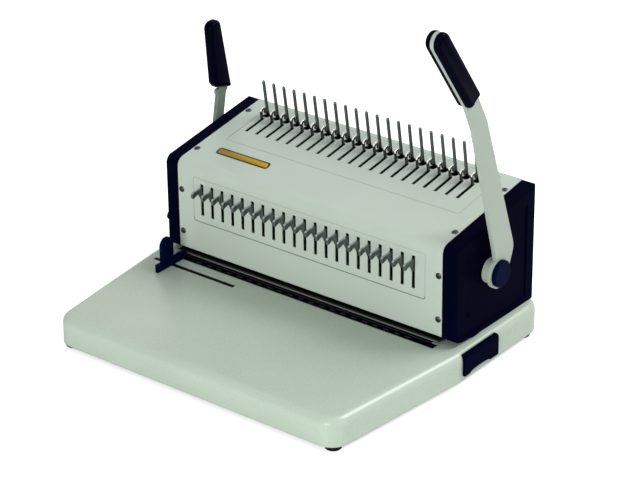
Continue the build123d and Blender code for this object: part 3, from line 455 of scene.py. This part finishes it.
def surface(name, color, spread, roughness, height, scale=None, metallic=0.0, rounding=0.4,
            gloss=0.5, edge_wear_and_light_color=None, pressed=False, painted_highlight=None, painted_shade=None):
    """Painted, moulded or metal surface with grain, a slow tone, marks and rounded edges."""
    # Spread is the share by which the tone changes. Height and rounding are in millimetres.
    # Without a scale the grain is brushed streaks. Painted highlight is a side and the colour of
    # the painted highlight on the faces turned to it, and painted shade is a mask of painted shade
    # and the share of the colour that is left there.
    material = bpy.data.materials.new(name)
    material.use_nodes = True
    tree = material.node_tree
    shader = tree.nodes["Principled BSDF"]
    grain = put_group(tree, GRAIN if scale else BRUSH)
    if scale:
        grain.inputs["Scale"].default_value = scale
    slow = ramp(tree, grain.outputs["Tone"], NOISE_LOW, NOISE_HIGH)
    tone = color_mix(tree, slow, shade(color, 1 - spread), shade(color, 1 + spread))
    marks = math_node(tree, "MULTIPLY", grain.outputs["Marks"], MARK_STRENGTH)
    tone = color_mix(tree, marks, tone, shade(color, 1 - MARK_DEPTH * spread))
    edges = put_group(tree, EDGES)
    edges.inputs["Radius"].default_value = rounding * MM
    normal = edges.outputs["Normal"]
    # The edge colour is wear on the paints and plastics, and painted light on the metals and the
    # opener bar: painted highlights, and painted shade round the screws' rims
    edge_wear_and_light_tone = edge_wear_and_light_color or shade(color, RUBBED_LIGHTER)
    tone = color_mix(tree, edges.outputs["WearAndLight"], tone, edge_wear_and_light_tone)
    # A line of painted shade along the pressed panels' edges, and their bump
    if pressed:
        panels = put_group(tree, PANELS)
        tone = color_mix(tree, panels.outputs["Line"], tone, shade(color, PANEL_SHADE_SHARE))
        normal = bump(tree, panels.outputs["Height"], PANEL_STEP, normal)
    # Painted highlight on the faces turned to the given side
    if painted_highlight:
        side, highlight_color = painted_highlight
        faces = put_group(tree, BRIGHT_FACES)
        faces.inputs["Side"].default_value = side
        tone = color_mix(tree, faces.outputs["Bright"], tone, highlight_color)
    # Painted shade where the mask is
    if painted_shade:
        mask, share = painted_shade
        tone = color_mix(tree, mask(tree), tone, shade(color, share))
    tree.links.new(tone, shader.inputs["Base Color"])
    rough = tree.nodes.new("ShaderNodeMapRange")
    rough.inputs["From Min"].default_value = NOISE_LOW
    rough.inputs["From Max"].default_value = NOISE_HIGH
    rough.inputs["To Min"].default_value = roughness - ROUGHNESS_SWING
    rough.inputs["To Max"].default_value = roughness + ROUGHNESS_SWING
    tree.links.new(grain.outputs["Height"], rough.inputs["Value"])
    tree.links.new(rough.outputs["Result"], shader.inputs["Roughness"])
    normal = bump(tree, grain.outputs["Height"], height * MM, normal)
    tree.links.new(normal, shader.inputs["Normal"])
    shader.inputs["Metallic"].default_value = metallic
    shader.inputs["Specular IOR Level"].default_value = gloss
    return material


# Painted shade darkens the cover round the feet of the pins
COVER_PAINT = surface(
    "cover_paint", (0.46, 0.53, 0.46), spread=0.02, roughness=0.33, height=0.008, scale=1500,
    rounding=0.5, gloss=0.35, pressed=True, painted_shade=(pin_hole_shade, 0.015),
)
# Painted shade darkens the walls of the edge guide's slot
BASE_PLASTIC = surface(
    "base_plastic", (0.43, 0.51, 0.42), spread=0.03, roughness=0.29, height=0.012, scale=1100,
    rounding=2.4, painted_shade=(inside_slot, 0.02),
)
LEVER_PAINT = surface(
    "lever_paint", (0.37, 0.43, 0.36), spread=0.02, roughness=0.32, height=0.008, scale=1500,
    rounding=0.8, gloss=0.35,
)
# The opener bar has the lever's paint made darker as painted shade, with painted highlights on its
# edges
BAR_PAINT_SHADED = surface(
    "bar_paint_shaded", (0.16, 0.20, 0.16), spread=0.04, roughness=0.36, height=0.008, scale=1500,
    rounding=0.8, gloss=0.3, edge_wear_and_light_color=(0.42, 0.48, 0.41),
)
NAVY = surface(
    "navy_plastic", (0.0007, 0.0013, 0.010), spread=0.2, roughness=0.38, height=0.012, scale=1300,
    rounding=0.6, gloss=0.004, edge_wear_and_light_color=(0.003, 0.004, 0.02),
)
GRIP_PLASTIC = surface(
    "grip_plastic", (0.0007, 0.0010, 0.007), spread=0.2, roughness=0.15, height=0.004, scale=1400,
    rounding=0.6, gloss=0.012, edge_wear_and_light_color=(0.003, 0.003, 0.012),
)
BLUE = surface(
    "blue_plastic", (0.0010, 0.0038, 0.026), spread=0.2, roughness=0.36, height=0.012, scale=1300,
    rounding=0.5, gloss=0.01, edge_wear_and_light_color=(0.006, 0.012, 0.07),
)
RUBBER = surface(
    "rubber_feet", (0.004, 0.004, 0.005), spread=0.3, roughness=0.7, height=0.05, scale=700,
    gloss=0.12,
)
STRIP = surface(
    "strip_plastic", (0.0010, 0.0014, 0.004), spread=0.2, roughness=0.42, height=0.015, scale=1200,
    rounding=0.3, gloss=0.015, edge_wear_and_light_color=(0.006, 0.006, 0.01),
)
# Painted highlight on the faces turned to the front and on the edges
STEEL = surface(
    "ground_steel", (0.035, 0.043, 0.04), spread=0.15, roughness=0.36, height=0.006, metallic=1.0,
    edge_wear_and_light_color=(0.42, 0.46, 0.45), painted_highlight=((0.0, -1.0, 0.0), (0.16, 0.17, 0.165)),
)
# Painted highlight on the upward faces and on the edges
PULL_STEEL = surface(
    "pull_steel", (0.11, 0.14, 0.135), spread=0.2, roughness=0.30, height=0.008, scale=1200,
    metallic=0.85, edge_wear_and_light_color=(0.34, 0.40, 0.38), painted_highlight=((0.0, 0.0, 1.0), (0.32, 0.38, 0.36)),
)
# Painted shade on the pins' feet, close to the sloping top
PIN_STEEL = surface(
    "pin_steel", (0.10, 0.115, 0.11), spread=0.2, roughness=0.3, height=0.006, scale=1200,
    metallic=1.0, painted_shade=(pin_foot_shade, 0.06),
)
# Painted reflection: the dark colour stands for dark surroundings seen on the sides, and painted
# highlights light the upward faces and the edges
CHROME = surface(
    "bright_steel", (0.055, 0.06, 0.055), spread=0.2, roughness=0.10, height=0.002, scale=1600,
    metallic=1.0, edge_wear_and_light_color=(0.55, 0.56, 0.50), painted_highlight=((0.0, 0.0, 1.0), (0.86, 0.88, 0.80)),
)
# Painted shade: the zinc of the parts inside the head is made near black
SHADED_ZINC = surface(
    "zinc_steel", (0.025, 0.027, 0.027), spread=0.15, roughness=0.5, height=0.01, scale=260,
    metallic=1.0,
)
BRONZE = surface(
    "bronze_bush", (0.30, 0.19, 0.08), spread=0.2, roughness=0.45, height=0.03, scale=900,
    metallic=1.0,
)
# Painted shade round the rims of the screw heads
SCREW_STEEL = surface(
    "screw_steel", (0.07, 0.073, 0.07), spread=0.2, roughness=0.18, height=0.004, scale=900,
    metallic=1.0, edge_wear_and_light_color=(0.012, 0.012, 0.012),
)
MARK_GREY = surface(
    "mark_grey", (0.05, 0.06, 0.06), spread=0.1, roughness=0.5, height=0.01, scale=1200, gloss=0.2,
)
SPRING_STEEL = surface(
    "spring_steel", (0.12, 0.125, 0.12), spread=0.15, roughness=0.3, height=0.004, scale=1400,
    metallic=1.0,
)
LABEL_BLACK = surface(
    "label_border", (0.006, 0.005, 0.003), spread=0.2, roughness=0.35, height=0.004, scale=1500,
    gloss=0.3,
)
LABEL_GOLD = surface(
    "label_gold", (0.50, 0.30, 0.008), spread=0.14, roughness=0.36, height=0.004, scale=800,
    gloss=0.15, edge_wear_and_light_color=(0.36, 0.20, 0.006),
)

# The material of each slot, and of the nodes that differ from their slot's
FINISHES = {
    "cover_paint": COVER_PAINT,
    "base_plastic": BASE_PLASTIC,
    "navy_plastic": NAVY,
    "blue_plastic": BLUE,
    "rubber": RUBBER,
    "black_plastic": STRIP,
    "steel": STEEL,
    "dark_steel": PIN_STEEL,
    "bright_steel": CHROME,
    "zinc_steel": SHADED_ZINC,
    "brass": BRONZE,
}
SPECIAL = {
    "punch_lever_blade": LEVER_PAINT,
    "opener_lever_bar": BAR_PAINT_SHADED,
    "punch_grip_outer": GRIP_PLASTIC,
    "punch_grip_inner": GRIP_PLASTIC,
    "opener_lever_grip": GRIP_PLASTIC,
    "cover_screws": SCREW_STEEL,
}


def dress_nodes():
    """Gives every carried-over node the material of its slot, or its own."""
    slots = {part["node"]: part["material_slot"] for part in frame["record"]["subparts"]}
    for name, node in frame["nodes"].items():
        material = SPECIAL.get(name, FINISHES[slots[name]])
        if name.startswith("punch_pull"):
            material = PULL_STEEL
        node.data.materials.clear()
        node.data.materials.append(material)


dress_nodes()


# Meshes


def finish_piece(name, shape, material, body, sharp=38.0):
    """Turns a shape into a piece that rides on a body; edges over the angle stay sharp."""
    bmesh.ops.recalc_face_normals(shape, faces=shape.faces)
    mesh = bpy.data.meshes.new(name)
    shape.to_mesh(mesh)
    shape.free()
    for polygon in mesh.polygons:
        polygon.use_smooth = True
    mesh.set_sharp_from_angle(angle=radians(sharp))
    mesh.materials.append(material)
    piece = bpy.data.objects.new(name, mesh)
    bpy.context.scene.collection.objects.link(piece)
    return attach(piece, body)


def bridge(shape, rings):
    """Faces between rings of equal length, with a face over each end."""
    for lower, upper in zip(rings, rings[1:]):
        for i in range(len(lower)):
            after = (i + 1) % len(lower)
            shape.faces.new((lower[i], lower[after], upper[after], upper[i]))
    shape.faces.new(rings[0])
    shape.faces.new(rings[-1])


def add_turned(shape, place, profile, sides):
    """Turned form about its own Z, from (radius, height) points."""
    rings = []
    for radius, height in profile:
        ring = []
        for i in range(sides):
            angle = 2 * pi * i / sides
            point = Vector((radius * cos(angle), radius * sin(angle), height))
            ring.append(shape.verts.new(place @ point))
        rings.append(ring)
    bridge(shape, rings)


def rounded_outline(corners, steps):
    """Points of a polygon whose corners are rounded; each corner is (x, y, radius)."""
    points = []
    for i, (x, y, radius) in enumerate(corners):
        corner = Vector((x, y))
        before = (Vector(corners[i - 1][:2]) - corner).normalized()
        after = (Vector(corners[(i + 1) % len(corners)][:2]) - corner).normalized()
        half = before.angle(after) / 2
        reach = radius / sin(half) * cos(half)
        middle = corner + (before + after).normalized() * (radius / sin(half))
        start = corner + before * reach - middle
        sweep = start.angle_signed(corner + after * reach - middle)
        for step in range(steps + 1):
            turn = -sweep * step / steps
            spin = Vector((
                start.x * cos(turn) - start.y * sin(turn),
                start.x * sin(turn) + start.y * cos(turn),
            ))
            points.append(middle + spin)
    return points


def inset_outline(points, distance):
    """The outline moved inward along its own normals."""
    area = sum(a.x * b.y - b.x * a.y for a, b in zip(points, points[1:] + points[:1]))
    side = 1.0 if area > 0 else -1.0
    moved = []
    for i, point in enumerate(points):
        along = (points[(i + 1) % len(points)] - points[i - 1]).normalized()
        moved.append(point + Vector((-along.y, along.x)) * side * distance)
    return moved


def add_pillow(shape, place, outline, levels):
    """Closed form over an outline, from (height, inset) levels."""
    rings = []
    for height, inset in levels:
        ring = inset_outline(outline, inset) if inset else outline
        rings.append([shape.verts.new(place @ Vector((p.x, p.y, height))) for p in ring])
    bridge(shape, rings)


def soft_levels(bottom, top, low_round, high_round, steps=6):
    """Heights and insets of a form with rounded rims below and above."""
    turns = [pi / 2 * step / steps for step in range(steps + 1)]
    low = [(bottom + low_round * (1 - sin(t)), low_round * (1 - cos(t))) for t in reversed(turns)]
    high = [(top - high_round * (1 - sin(t)), high_round * (1 - cos(t))) for t in turns]
    return low + high


# Comb pins and comb hooks


def make_comb_pins():
    """Round pins with domed tips, square to the sloping top."""
    sides = 20
    # Radius and height, from the foot inside the head to the tip
    profile = in_metres([
        (1.0, -12.0), (1.85, -11.6), (1.85, 42.4), (1.74, 43.2), (1.4, 43.9), (0.85, 44.3),
        (0.3, 44.4),
    ])
    shape = bmesh.new()
    for x in row(TOP_ROW_SHIFT):
        add_turned(shape, SLOPE_AXES @ Matrix.Translation((x, PIN_ROW, 0)), profile, sides)
    piece = finish_piece("comb_pin_rods", shape, PIN_STEEL, "machine")
    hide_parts("comb_pins")


def hook_outline():
    """Side of a comb hook, up the slope and out of it: a leg, a round back and a tip."""
    leg = 3.2 * MM
    inner = 1.9 * MM
    tip = 2.6 * MM
    crown = 13.0 * MM
    root = -4.0 * MM
    steps = 14
    outer = (leg + 2 * inner + tip) / 2
    middle = (HOOK_ROW - leg + outer, crown - outer)
    tip_near_leg = HOOK_ROW + 2 * inner
    points = [Vector((HOOK_ROW - leg, root))]
    for i in range(steps + 1):
        turn = pi * (1 - i / steps)
        points.append(Vector((middle[0] + outer * cos(turn), middle[1] + outer * sin(turn))))
    # The tip is cut to a blunt point
    points.append(Vector((tip_near_leg + tip, 4.6 * MM)))
    points.append(Vector((tip_near_leg + 0.8 * MM, 4.0 * MM)))
    points.append(Vector((tip_near_leg, 4.8 * MM)))
    for i in range(steps + 1):
        turn = pi * i / steps
        across = HOOK_ROW + inner + inner * cos(turn)
        points.append(Vector((across, middle[1] + inner * sin(turn))))
    points.append(Vector((HOOK_ROW, root)))
    return points


def make_comb_hooks():
    """Bent flat hooks with rounded edges that stand in the slots of the top."""
    half = 1.1 * MM
    edge = 0.35 * MM
    step = 0.1 * MM
    levels = [
        (-half, edge), (-half + step, step), (-half + edge, 0.0),
        (half - edge, 0.0), (half - step, step), (half, edge),
    ]
    across = Matrix(((0, 0, 1, 0), (1, 0, 0, 0), (0, 1, 0, 0), (0, 0, 0, 1)))
    points = hook_outline()
    shape = bmesh.new()
    for x in row(TOP_ROW_SHIFT):
        add_pillow(shape, SLOPE_AXES @ Matrix.Translation((x, 0, 0)) @ across, points, levels)
    piece = finish_piece("comb_hook_blades", shape, CHROME, "hook_slide")
    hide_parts("comb_hooks")


# Springs


def add_coil_spring(shape, x, y, foot, top):
    """Coil of round wire about an upright line, closed at both ends."""
    wire = 0.65 * MM
    coil = 3.2 * MM
    turns = 11
    steps = 20
    sides = 8
    rings = []
    for i in range(turns * steps + 1):
        turn = i / steps
        # The first and last turns lie flat against the next ones
        share = min(max((turn - 1.0) / (turns - 2.0), 0.0), 1.0)
        closed = min(turn, 1.0) + max(turn - turns + 1.0, 0.0)
        height = foot + wire + closed * 2 * wire + share * (top - foot - 6 * wire)
        angle = 2 * pi * turn
        ring = []
        for j in range(sides):
            around = 2 * pi * j / sides
            radius = coil + wire * cos(around)
            across = x + radius * cos(angle)
            back = y + radius * sin(angle)
            ring.append(shape.verts.new((across, back, height + wire * sin(around))))
        rings.append(ring)
    bridge(shape, rings)


def make_return_springs():
    """Two coil springs below the punch bar."""
    places = (-152.525 * MM, 154.025 * MM)
    back = 32.5 * MM
    foot = 65.06 * MM
    top = 108.0 * MM
    shape = bmesh.new()
    for x in places:
        add_coil_spring(shape, x, back, foot, top)
    piece = finish_piece("return_spring_coils", shape, SPRING_STEEL, "punch_head")
    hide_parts("return_springs")
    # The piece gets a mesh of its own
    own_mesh(piece)


# Screws


def add_screw(shape, place):
    """Domed head with a cross recess, and its shank."""
    rings = 12
    steps = 48
    radius = 3.6 * MM
    top = 1.5 * MM
    shank = 2.0 * MM
    tip = -7.0 * MM
    recess = 1.0 * MM
    arm_half = 0.5 * MM
    arm_reach = 2.1 * MM
    # The rings crowd towards the rim, and the dome is flatter in its middle than a ball
    crowding = 0.8
    flatness = 2.6
    grid = []
    for i in range(1, rings + 1):
        r = radius * (i / rings) ** crowding
        ring = []
        for j in range(steps):
            angle = 2 * pi * j / steps
            x = r * cos(angle)
            y = r * sin(angle)
            height = top * sqrt(max(1 - (r / radius) ** flatness, 0.0))
            in_arm = max(0.0, 1 - min(abs(x), abs(y)) / arm_half)
            depth = in_arm * max(0.0, min(1.0, (arm_reach - r) / arm_half))
            point = Vector((x, y, height - recess * min(depth * 2, 1.0)))
            ring.append(shape.verts.new(place @ point))
        grid.append(ring)
    bottom = []
    for j in range(steps):
        angle = 2 * pi * j / steps
        point = Vector((shank * cos(angle), shank * sin(angle), tip))
        bottom.append(shape.verts.new(place @ point))
    bridge(shape, grid + [bottom])


def make_screws():
    """Cross-recessed screws of the cover and of the right end cover."""
    from_middle = 173.475 * MM
    front_heights = (27.6 * MM, 78.4 * MM)
    front_turn = Matrix.Rotation(0.5, 4, "Z")
    top_places = (28.5 * MM, 119.5 * MM)
    top_turn = Matrix.Rotation(0.3, 4, "Z")
    end_screw = (HEAD_MIDDLE + 194.825 * MM, HEAD_FRONT + 24.5 * MM, BASE_TOP + 29.0 * MM)
    sharp = 30.0
    shape = bmesh.new()
    for side in (-1, 1):
        for height in front_heights:
            place = (HEAD_MIDDLE + side * from_middle, HEAD_FRONT, BASE_TOP + height)
            add_screw(shape, set_of_axes(place, (1, 0, 0), (0, 0, 1), (0, -1, 0)) @ front_turn)
        for along in top_places:
            seat = SLOPE_AXES @ Matrix.Translation((side * from_middle, along, 0))
            add_screw(shape, seat @ top_turn)
    piece = finish_piece("cross_screws", shape, SCREW_STEEL, "machine", sharp)
    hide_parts("cover_screws")
    dark = bmesh.new()
    add_screw(dark, set_of_axes(end_screw, (0, 1, 0), (0, 0, 1), (1, 0, 0)))
    finish_piece("end_cover_screw", dark, NAVY, "machine", sharp)


# Grips


def make_punch_grips():
    """Two glossy grip scales with rounded rims, one on each face of the punch lever's tang."""
    lean = radians(34.8)
    blade_side = 203.725
    shaft_back = 60.5
    root_ahead = 57.0
    root_above = 214.3
    origin = (
        HEAD_MIDDLE + blade_side * MM,
        HEAD_FRONT + (shaft_back - root_ahead) * MM,
        SHAFT_HEIGHT + root_above * MM,
    )
    axes = set_of_axes(origin, (0, -sin(lean), cos(lean)), (0, -cos(lean), -sin(lean)), (1, 0, 0))
    half = 10.8 * MM
    length = 97.9 * MM
    end_round = 0.99 * half
    # A shallow notch in the lower end, and a half round at the far end
    corners = [
        (0.0, half, 6.0 * MM), (0.0, 3.0 * MM, 1.2 * MM), (1.7 * MM, 0.5 * MM, 1.0 * MM),
        (1.7 * MM, -2.5 * MM, 1.0 * MM), (0.0, -5.0 * MM, 1.2 * MM), (0.0, -half, 4.0 * MM),
        (length + half, -half, end_round), (length + half, half, end_round),
    ]
    points = rounded_outline(corners, steps=8)
    tang = 4.5 * MM
    outside = 11.5 * MM
    outer = soft_levels(tang, outside, low_round=0.3 * MM, high_round=4.6 * MM)
    inner = [(tang - height, inset) for height, inset in outer]
    sharp = 60.0
    shape = bmesh.new()
    add_pillow(shape, axes, points, outer)
    piece = finish_piece(
        "grip_scale_outer", shape, GRIP_PLASTIC, "punch_lever", sharp
    )
    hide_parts("punch_grip_outer")
    shape = bmesh.new()
    add_pillow(shape, axes, points, inner)
    piece = finish_piece(
        "grip_scale_inner", shape, GRIP_PLASTIC, "punch_lever", sharp
    )
    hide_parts("punch_grip_inner")


def make_opener_grip():
    """One-piece grip of the opening lever, domed at its end and slanted below."""
    bar_lean = radians(10.8)
    grip_lean = radians(-8.0)
    bar_side = 207.225
    shaft_back = 98.0
    bend = 87.3
    origin = (
        HEAD_MIDDLE - bar_side * MM,
        HEAD_FRONT + (shaft_back + bend * sin(bar_lean)) * MM,
        SHAFT_HEIGHT + bend * cos(bar_lean) * MM,
    )
    up = (0, sin(grip_lean), cos(grip_lean))
    forward = (0, -cos(grip_lean), sin(grip_lean))
    # The lower corner in front is cut, so that it clears the stop stud
    corners = in_metres([
        (5.2, 12.5, 2.0), (10.6, 15.5, 3.0), (84.5, 11.0, 8.5), (83.2, -7.4, 7.0),
        (-6.0, -12.2, 2.8),
    ])
    outer_side = -8.75 * MM
    inner_side = 4.25 * MM
    rim = 4.6 * MM
    sharp = 60.0
    levels = soft_levels(outer_side, inner_side, rim, rim)
    axes = set_of_axes(origin, up, forward, (1, 0, 0))
    shape = bmesh.new()
    add_pillow(shape, axes, rounded_outline(corners, steps=7), levels)
    piece = finish_piece(
        "opener_grip_body", shape, GRIP_PLASTIC, "opener_lever", sharp
    )
    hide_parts("opener_lever_grip")


# Label plate, marks and tab


def make_label():
    """Bare gold label with a dark border, on the sloping top."""
    left = -149.4
    right = -76.8
    lower = 30.2
    upper = 42.6
    slant = 2.6
    corner_round = 3.6
    round_share = 1.1
    rim_height = 0.06
    rim_inset = 0.08
    border = [(left, lower), (right, lower), (right - slant, upper), (left - slant, upper)]
    inward = ((1, 1), (-1, 1), (-1, -1), (1, -1))
    for name, shrink, bottom, top, material in (
        ("label_border_plate", 0.0, 0.02, 0.22, LABEL_BLACK),
        ("label_field", 2.1, 0.20, 0.30, LABEL_GOLD),
    ):
        corners = in_metres([
            (x + sx * shrink, y + sy * shrink, corner_round - shrink * round_share)
            for (x, y), (sx, sy) in zip(border, inward)
        ])
        levels = in_metres([(bottom, 0.0), (top - rim_height, 0.0), (top, rim_inset)])
        shape = bmesh.new()
        add_pillow(shape, SLOPE_AXES, rounded_outline(corners, steps=6), levels)
        finish_piece(name, shape, material, "machine")


def make_strip_marks():
    """Grey marks in the recesses of the black strip, one for each hole."""
    strip_ahead = 8.5 * MM
    corners = in_metres([(-3.4, -0.7, 0.3), (3.4, -0.7, 0.3), (3.4, 0.7, 0.3), (-3.4, 0.7, 0.3)])
    outline = rounded_outline(corners, steps=3)
    levels = in_metres([(-0.5, 0.0), (-0.12, 0.0), (-0.05, 0.08)])
    shape = bmesh.new()
    for x in row(FRONT_ROW_SHIFT):
        place = Matrix.Translation((HEAD_MIDDLE + x, HEAD_FRONT - strip_ahead, BASE_TOP))
        add_pillow(shape, place, outline, levels)
    finish_piece("strip_marks", shape, MARK_GREY, "machine")


def make_cover_tab():
    """Small locating tab at the foot of the right end cover."""
    cover_side = 193.2 * MM
    depth = 3.0 * MM
    axes = set_of_axes(
        (HEAD_MIDDLE + cover_side, HEAD_FRONT, BASE_TOP), (0, 1, 0), (0, 0, 1), (1, 0, 0)
    )
    corners = in_metres([(29.5, 0.1, 0.6), (42.5, 0.1, 0.6), (42.5, 3.4, 0.6), (29.5, 3.4, 0.6)])
    levels = soft_levels(0.0, depth, low_round=0.3 * MM, high_round=0.6 * MM, steps=3)
    shape = bmesh.new()
    add_pillow(shape, axes, rounded_outline(corners, steps=3), levels)
    finish_piece("end_cover_tab", shape, NAVY, "machine")


make_comb_pins()
make_comb_hooks()
make_return_springs()
make_cover_tab()
make_screws()
make_punch_grips()
make_opener_grip()
make_label()
make_strip_marks()


# Camera, light and floor


def place_camera():
    """Camera at the photograph's place and angle."""
    data = bpy.data.cameras.new("view")
    data.sensor_width = SENSOR
    data.lens = FOCAL_PIXELS / IMAGE_WIDTH * SENSOR
    data.clip_start = 0.1
    data.clip_end = 50.0
    camera = bpy.data.objects.new("view", data)
    camera.matrix_world = set_of_axes(CAMERA_PLACE, CAMERA_RIGHT, CAMERA_UP, CAMERA_BACK)
    bpy.context.scene.collection.objects.link(camera)
    bpy.context.scene.camera = camera


def add_lamp(name, place, target, size, power):
    """Square soft lamp aimed at a point."""
    data = bpy.data.lights.new(name, "AREA")
    data.size = size
    data.energy = power
    lamp = bpy.data.objects.new(name, data)
    aim = Vector(target) - Vector(place)
    turn = aim.to_track_quat("-Z", "Y").to_matrix().to_4x4()
    lamp.matrix_world = Matrix.Translation(place) @ turn
    bpy.context.scene.collection.objects.link(lamp)


def make_world():
    """White to the camera and in reflections, softer as light."""
    world = bpy.data.worlds.new("studio")
    world.use_nodes = True
    tree = world.node_tree
    tree.nodes.clear()
    seen = tree.nodes.new("ShaderNodeBackground")
    seen.inputs["Color"].default_value = WHITE
    seen.inputs["Strength"].default_value = 1.0
    soft = tree.nodes.new("ShaderNodeBackground")
    soft.inputs["Color"].default_value = SKY_COLOR
    soft.inputs["Strength"].default_value = SKY_STRENGTH
    path = tree.nodes.new("ShaderNodeLightPath")
    seen_here = path.outputs["Is Camera Ray"]
    for ray in ("Is Glossy Ray", "Is Transmission Ray"):
        seen_here = math_node(tree, "MAXIMUM", seen_here, path.outputs[ray])
    mix = tree.nodes.new("ShaderNodeMixShader")
    tree.links.new(seen_here, mix.inputs["Fac"])
    tree.links.new(soft.outputs["Background"], mix.inputs[1])
    tree.links.new(seen.outputs["Background"], mix.inputs[2])
    output = tree.nodes.new("ShaderNodeOutputWorld")
    tree.links.new(mix.outputs["Shader"], output.inputs["Surface"])
    bpy.context.scene.world = world


def make_floor():
    """Plain pale floor under the machine, which glows to the camera alone."""
    mesh = bpy.data.meshes.new("floor")
    shape = bmesh.new()
    bmesh.ops.create_grid(shape, x_segments=8, y_segments=8, size=FLOOR_SIZE)
    shape.to_mesh(mesh)
    shape.free()
    floor = bpy.data.objects.new("floor", mesh)
    bpy.context.scene.collection.objects.link(floor)
    material = surface(
        "floor_white", (0.93, 0.93, 0.93), spread=0.01, roughness=0.7, height=0.02, scale=90,
        gloss=0.2,
    )
    tree = material.node_tree
    shader = tree.nodes["Principled BSDF"]
    shader.inputs["Emission Color"].default_value = WHITE
    path = tree.nodes.new("ShaderNodeLightPath")
    glow = math_node(tree, "MULTIPLY", path.outputs["Is Camera Ray"], FLOOR_GLOW)
    tree.links.new(glow, shader.inputs["Emission Strength"])
    mesh.materials.append(material)


place_camera()
make_world()
make_floor()
for lamp_values in LAMPS:
    add_lamp(*lamp_values)
bpy.context.scene.view_settings.view_transform = "Standard"
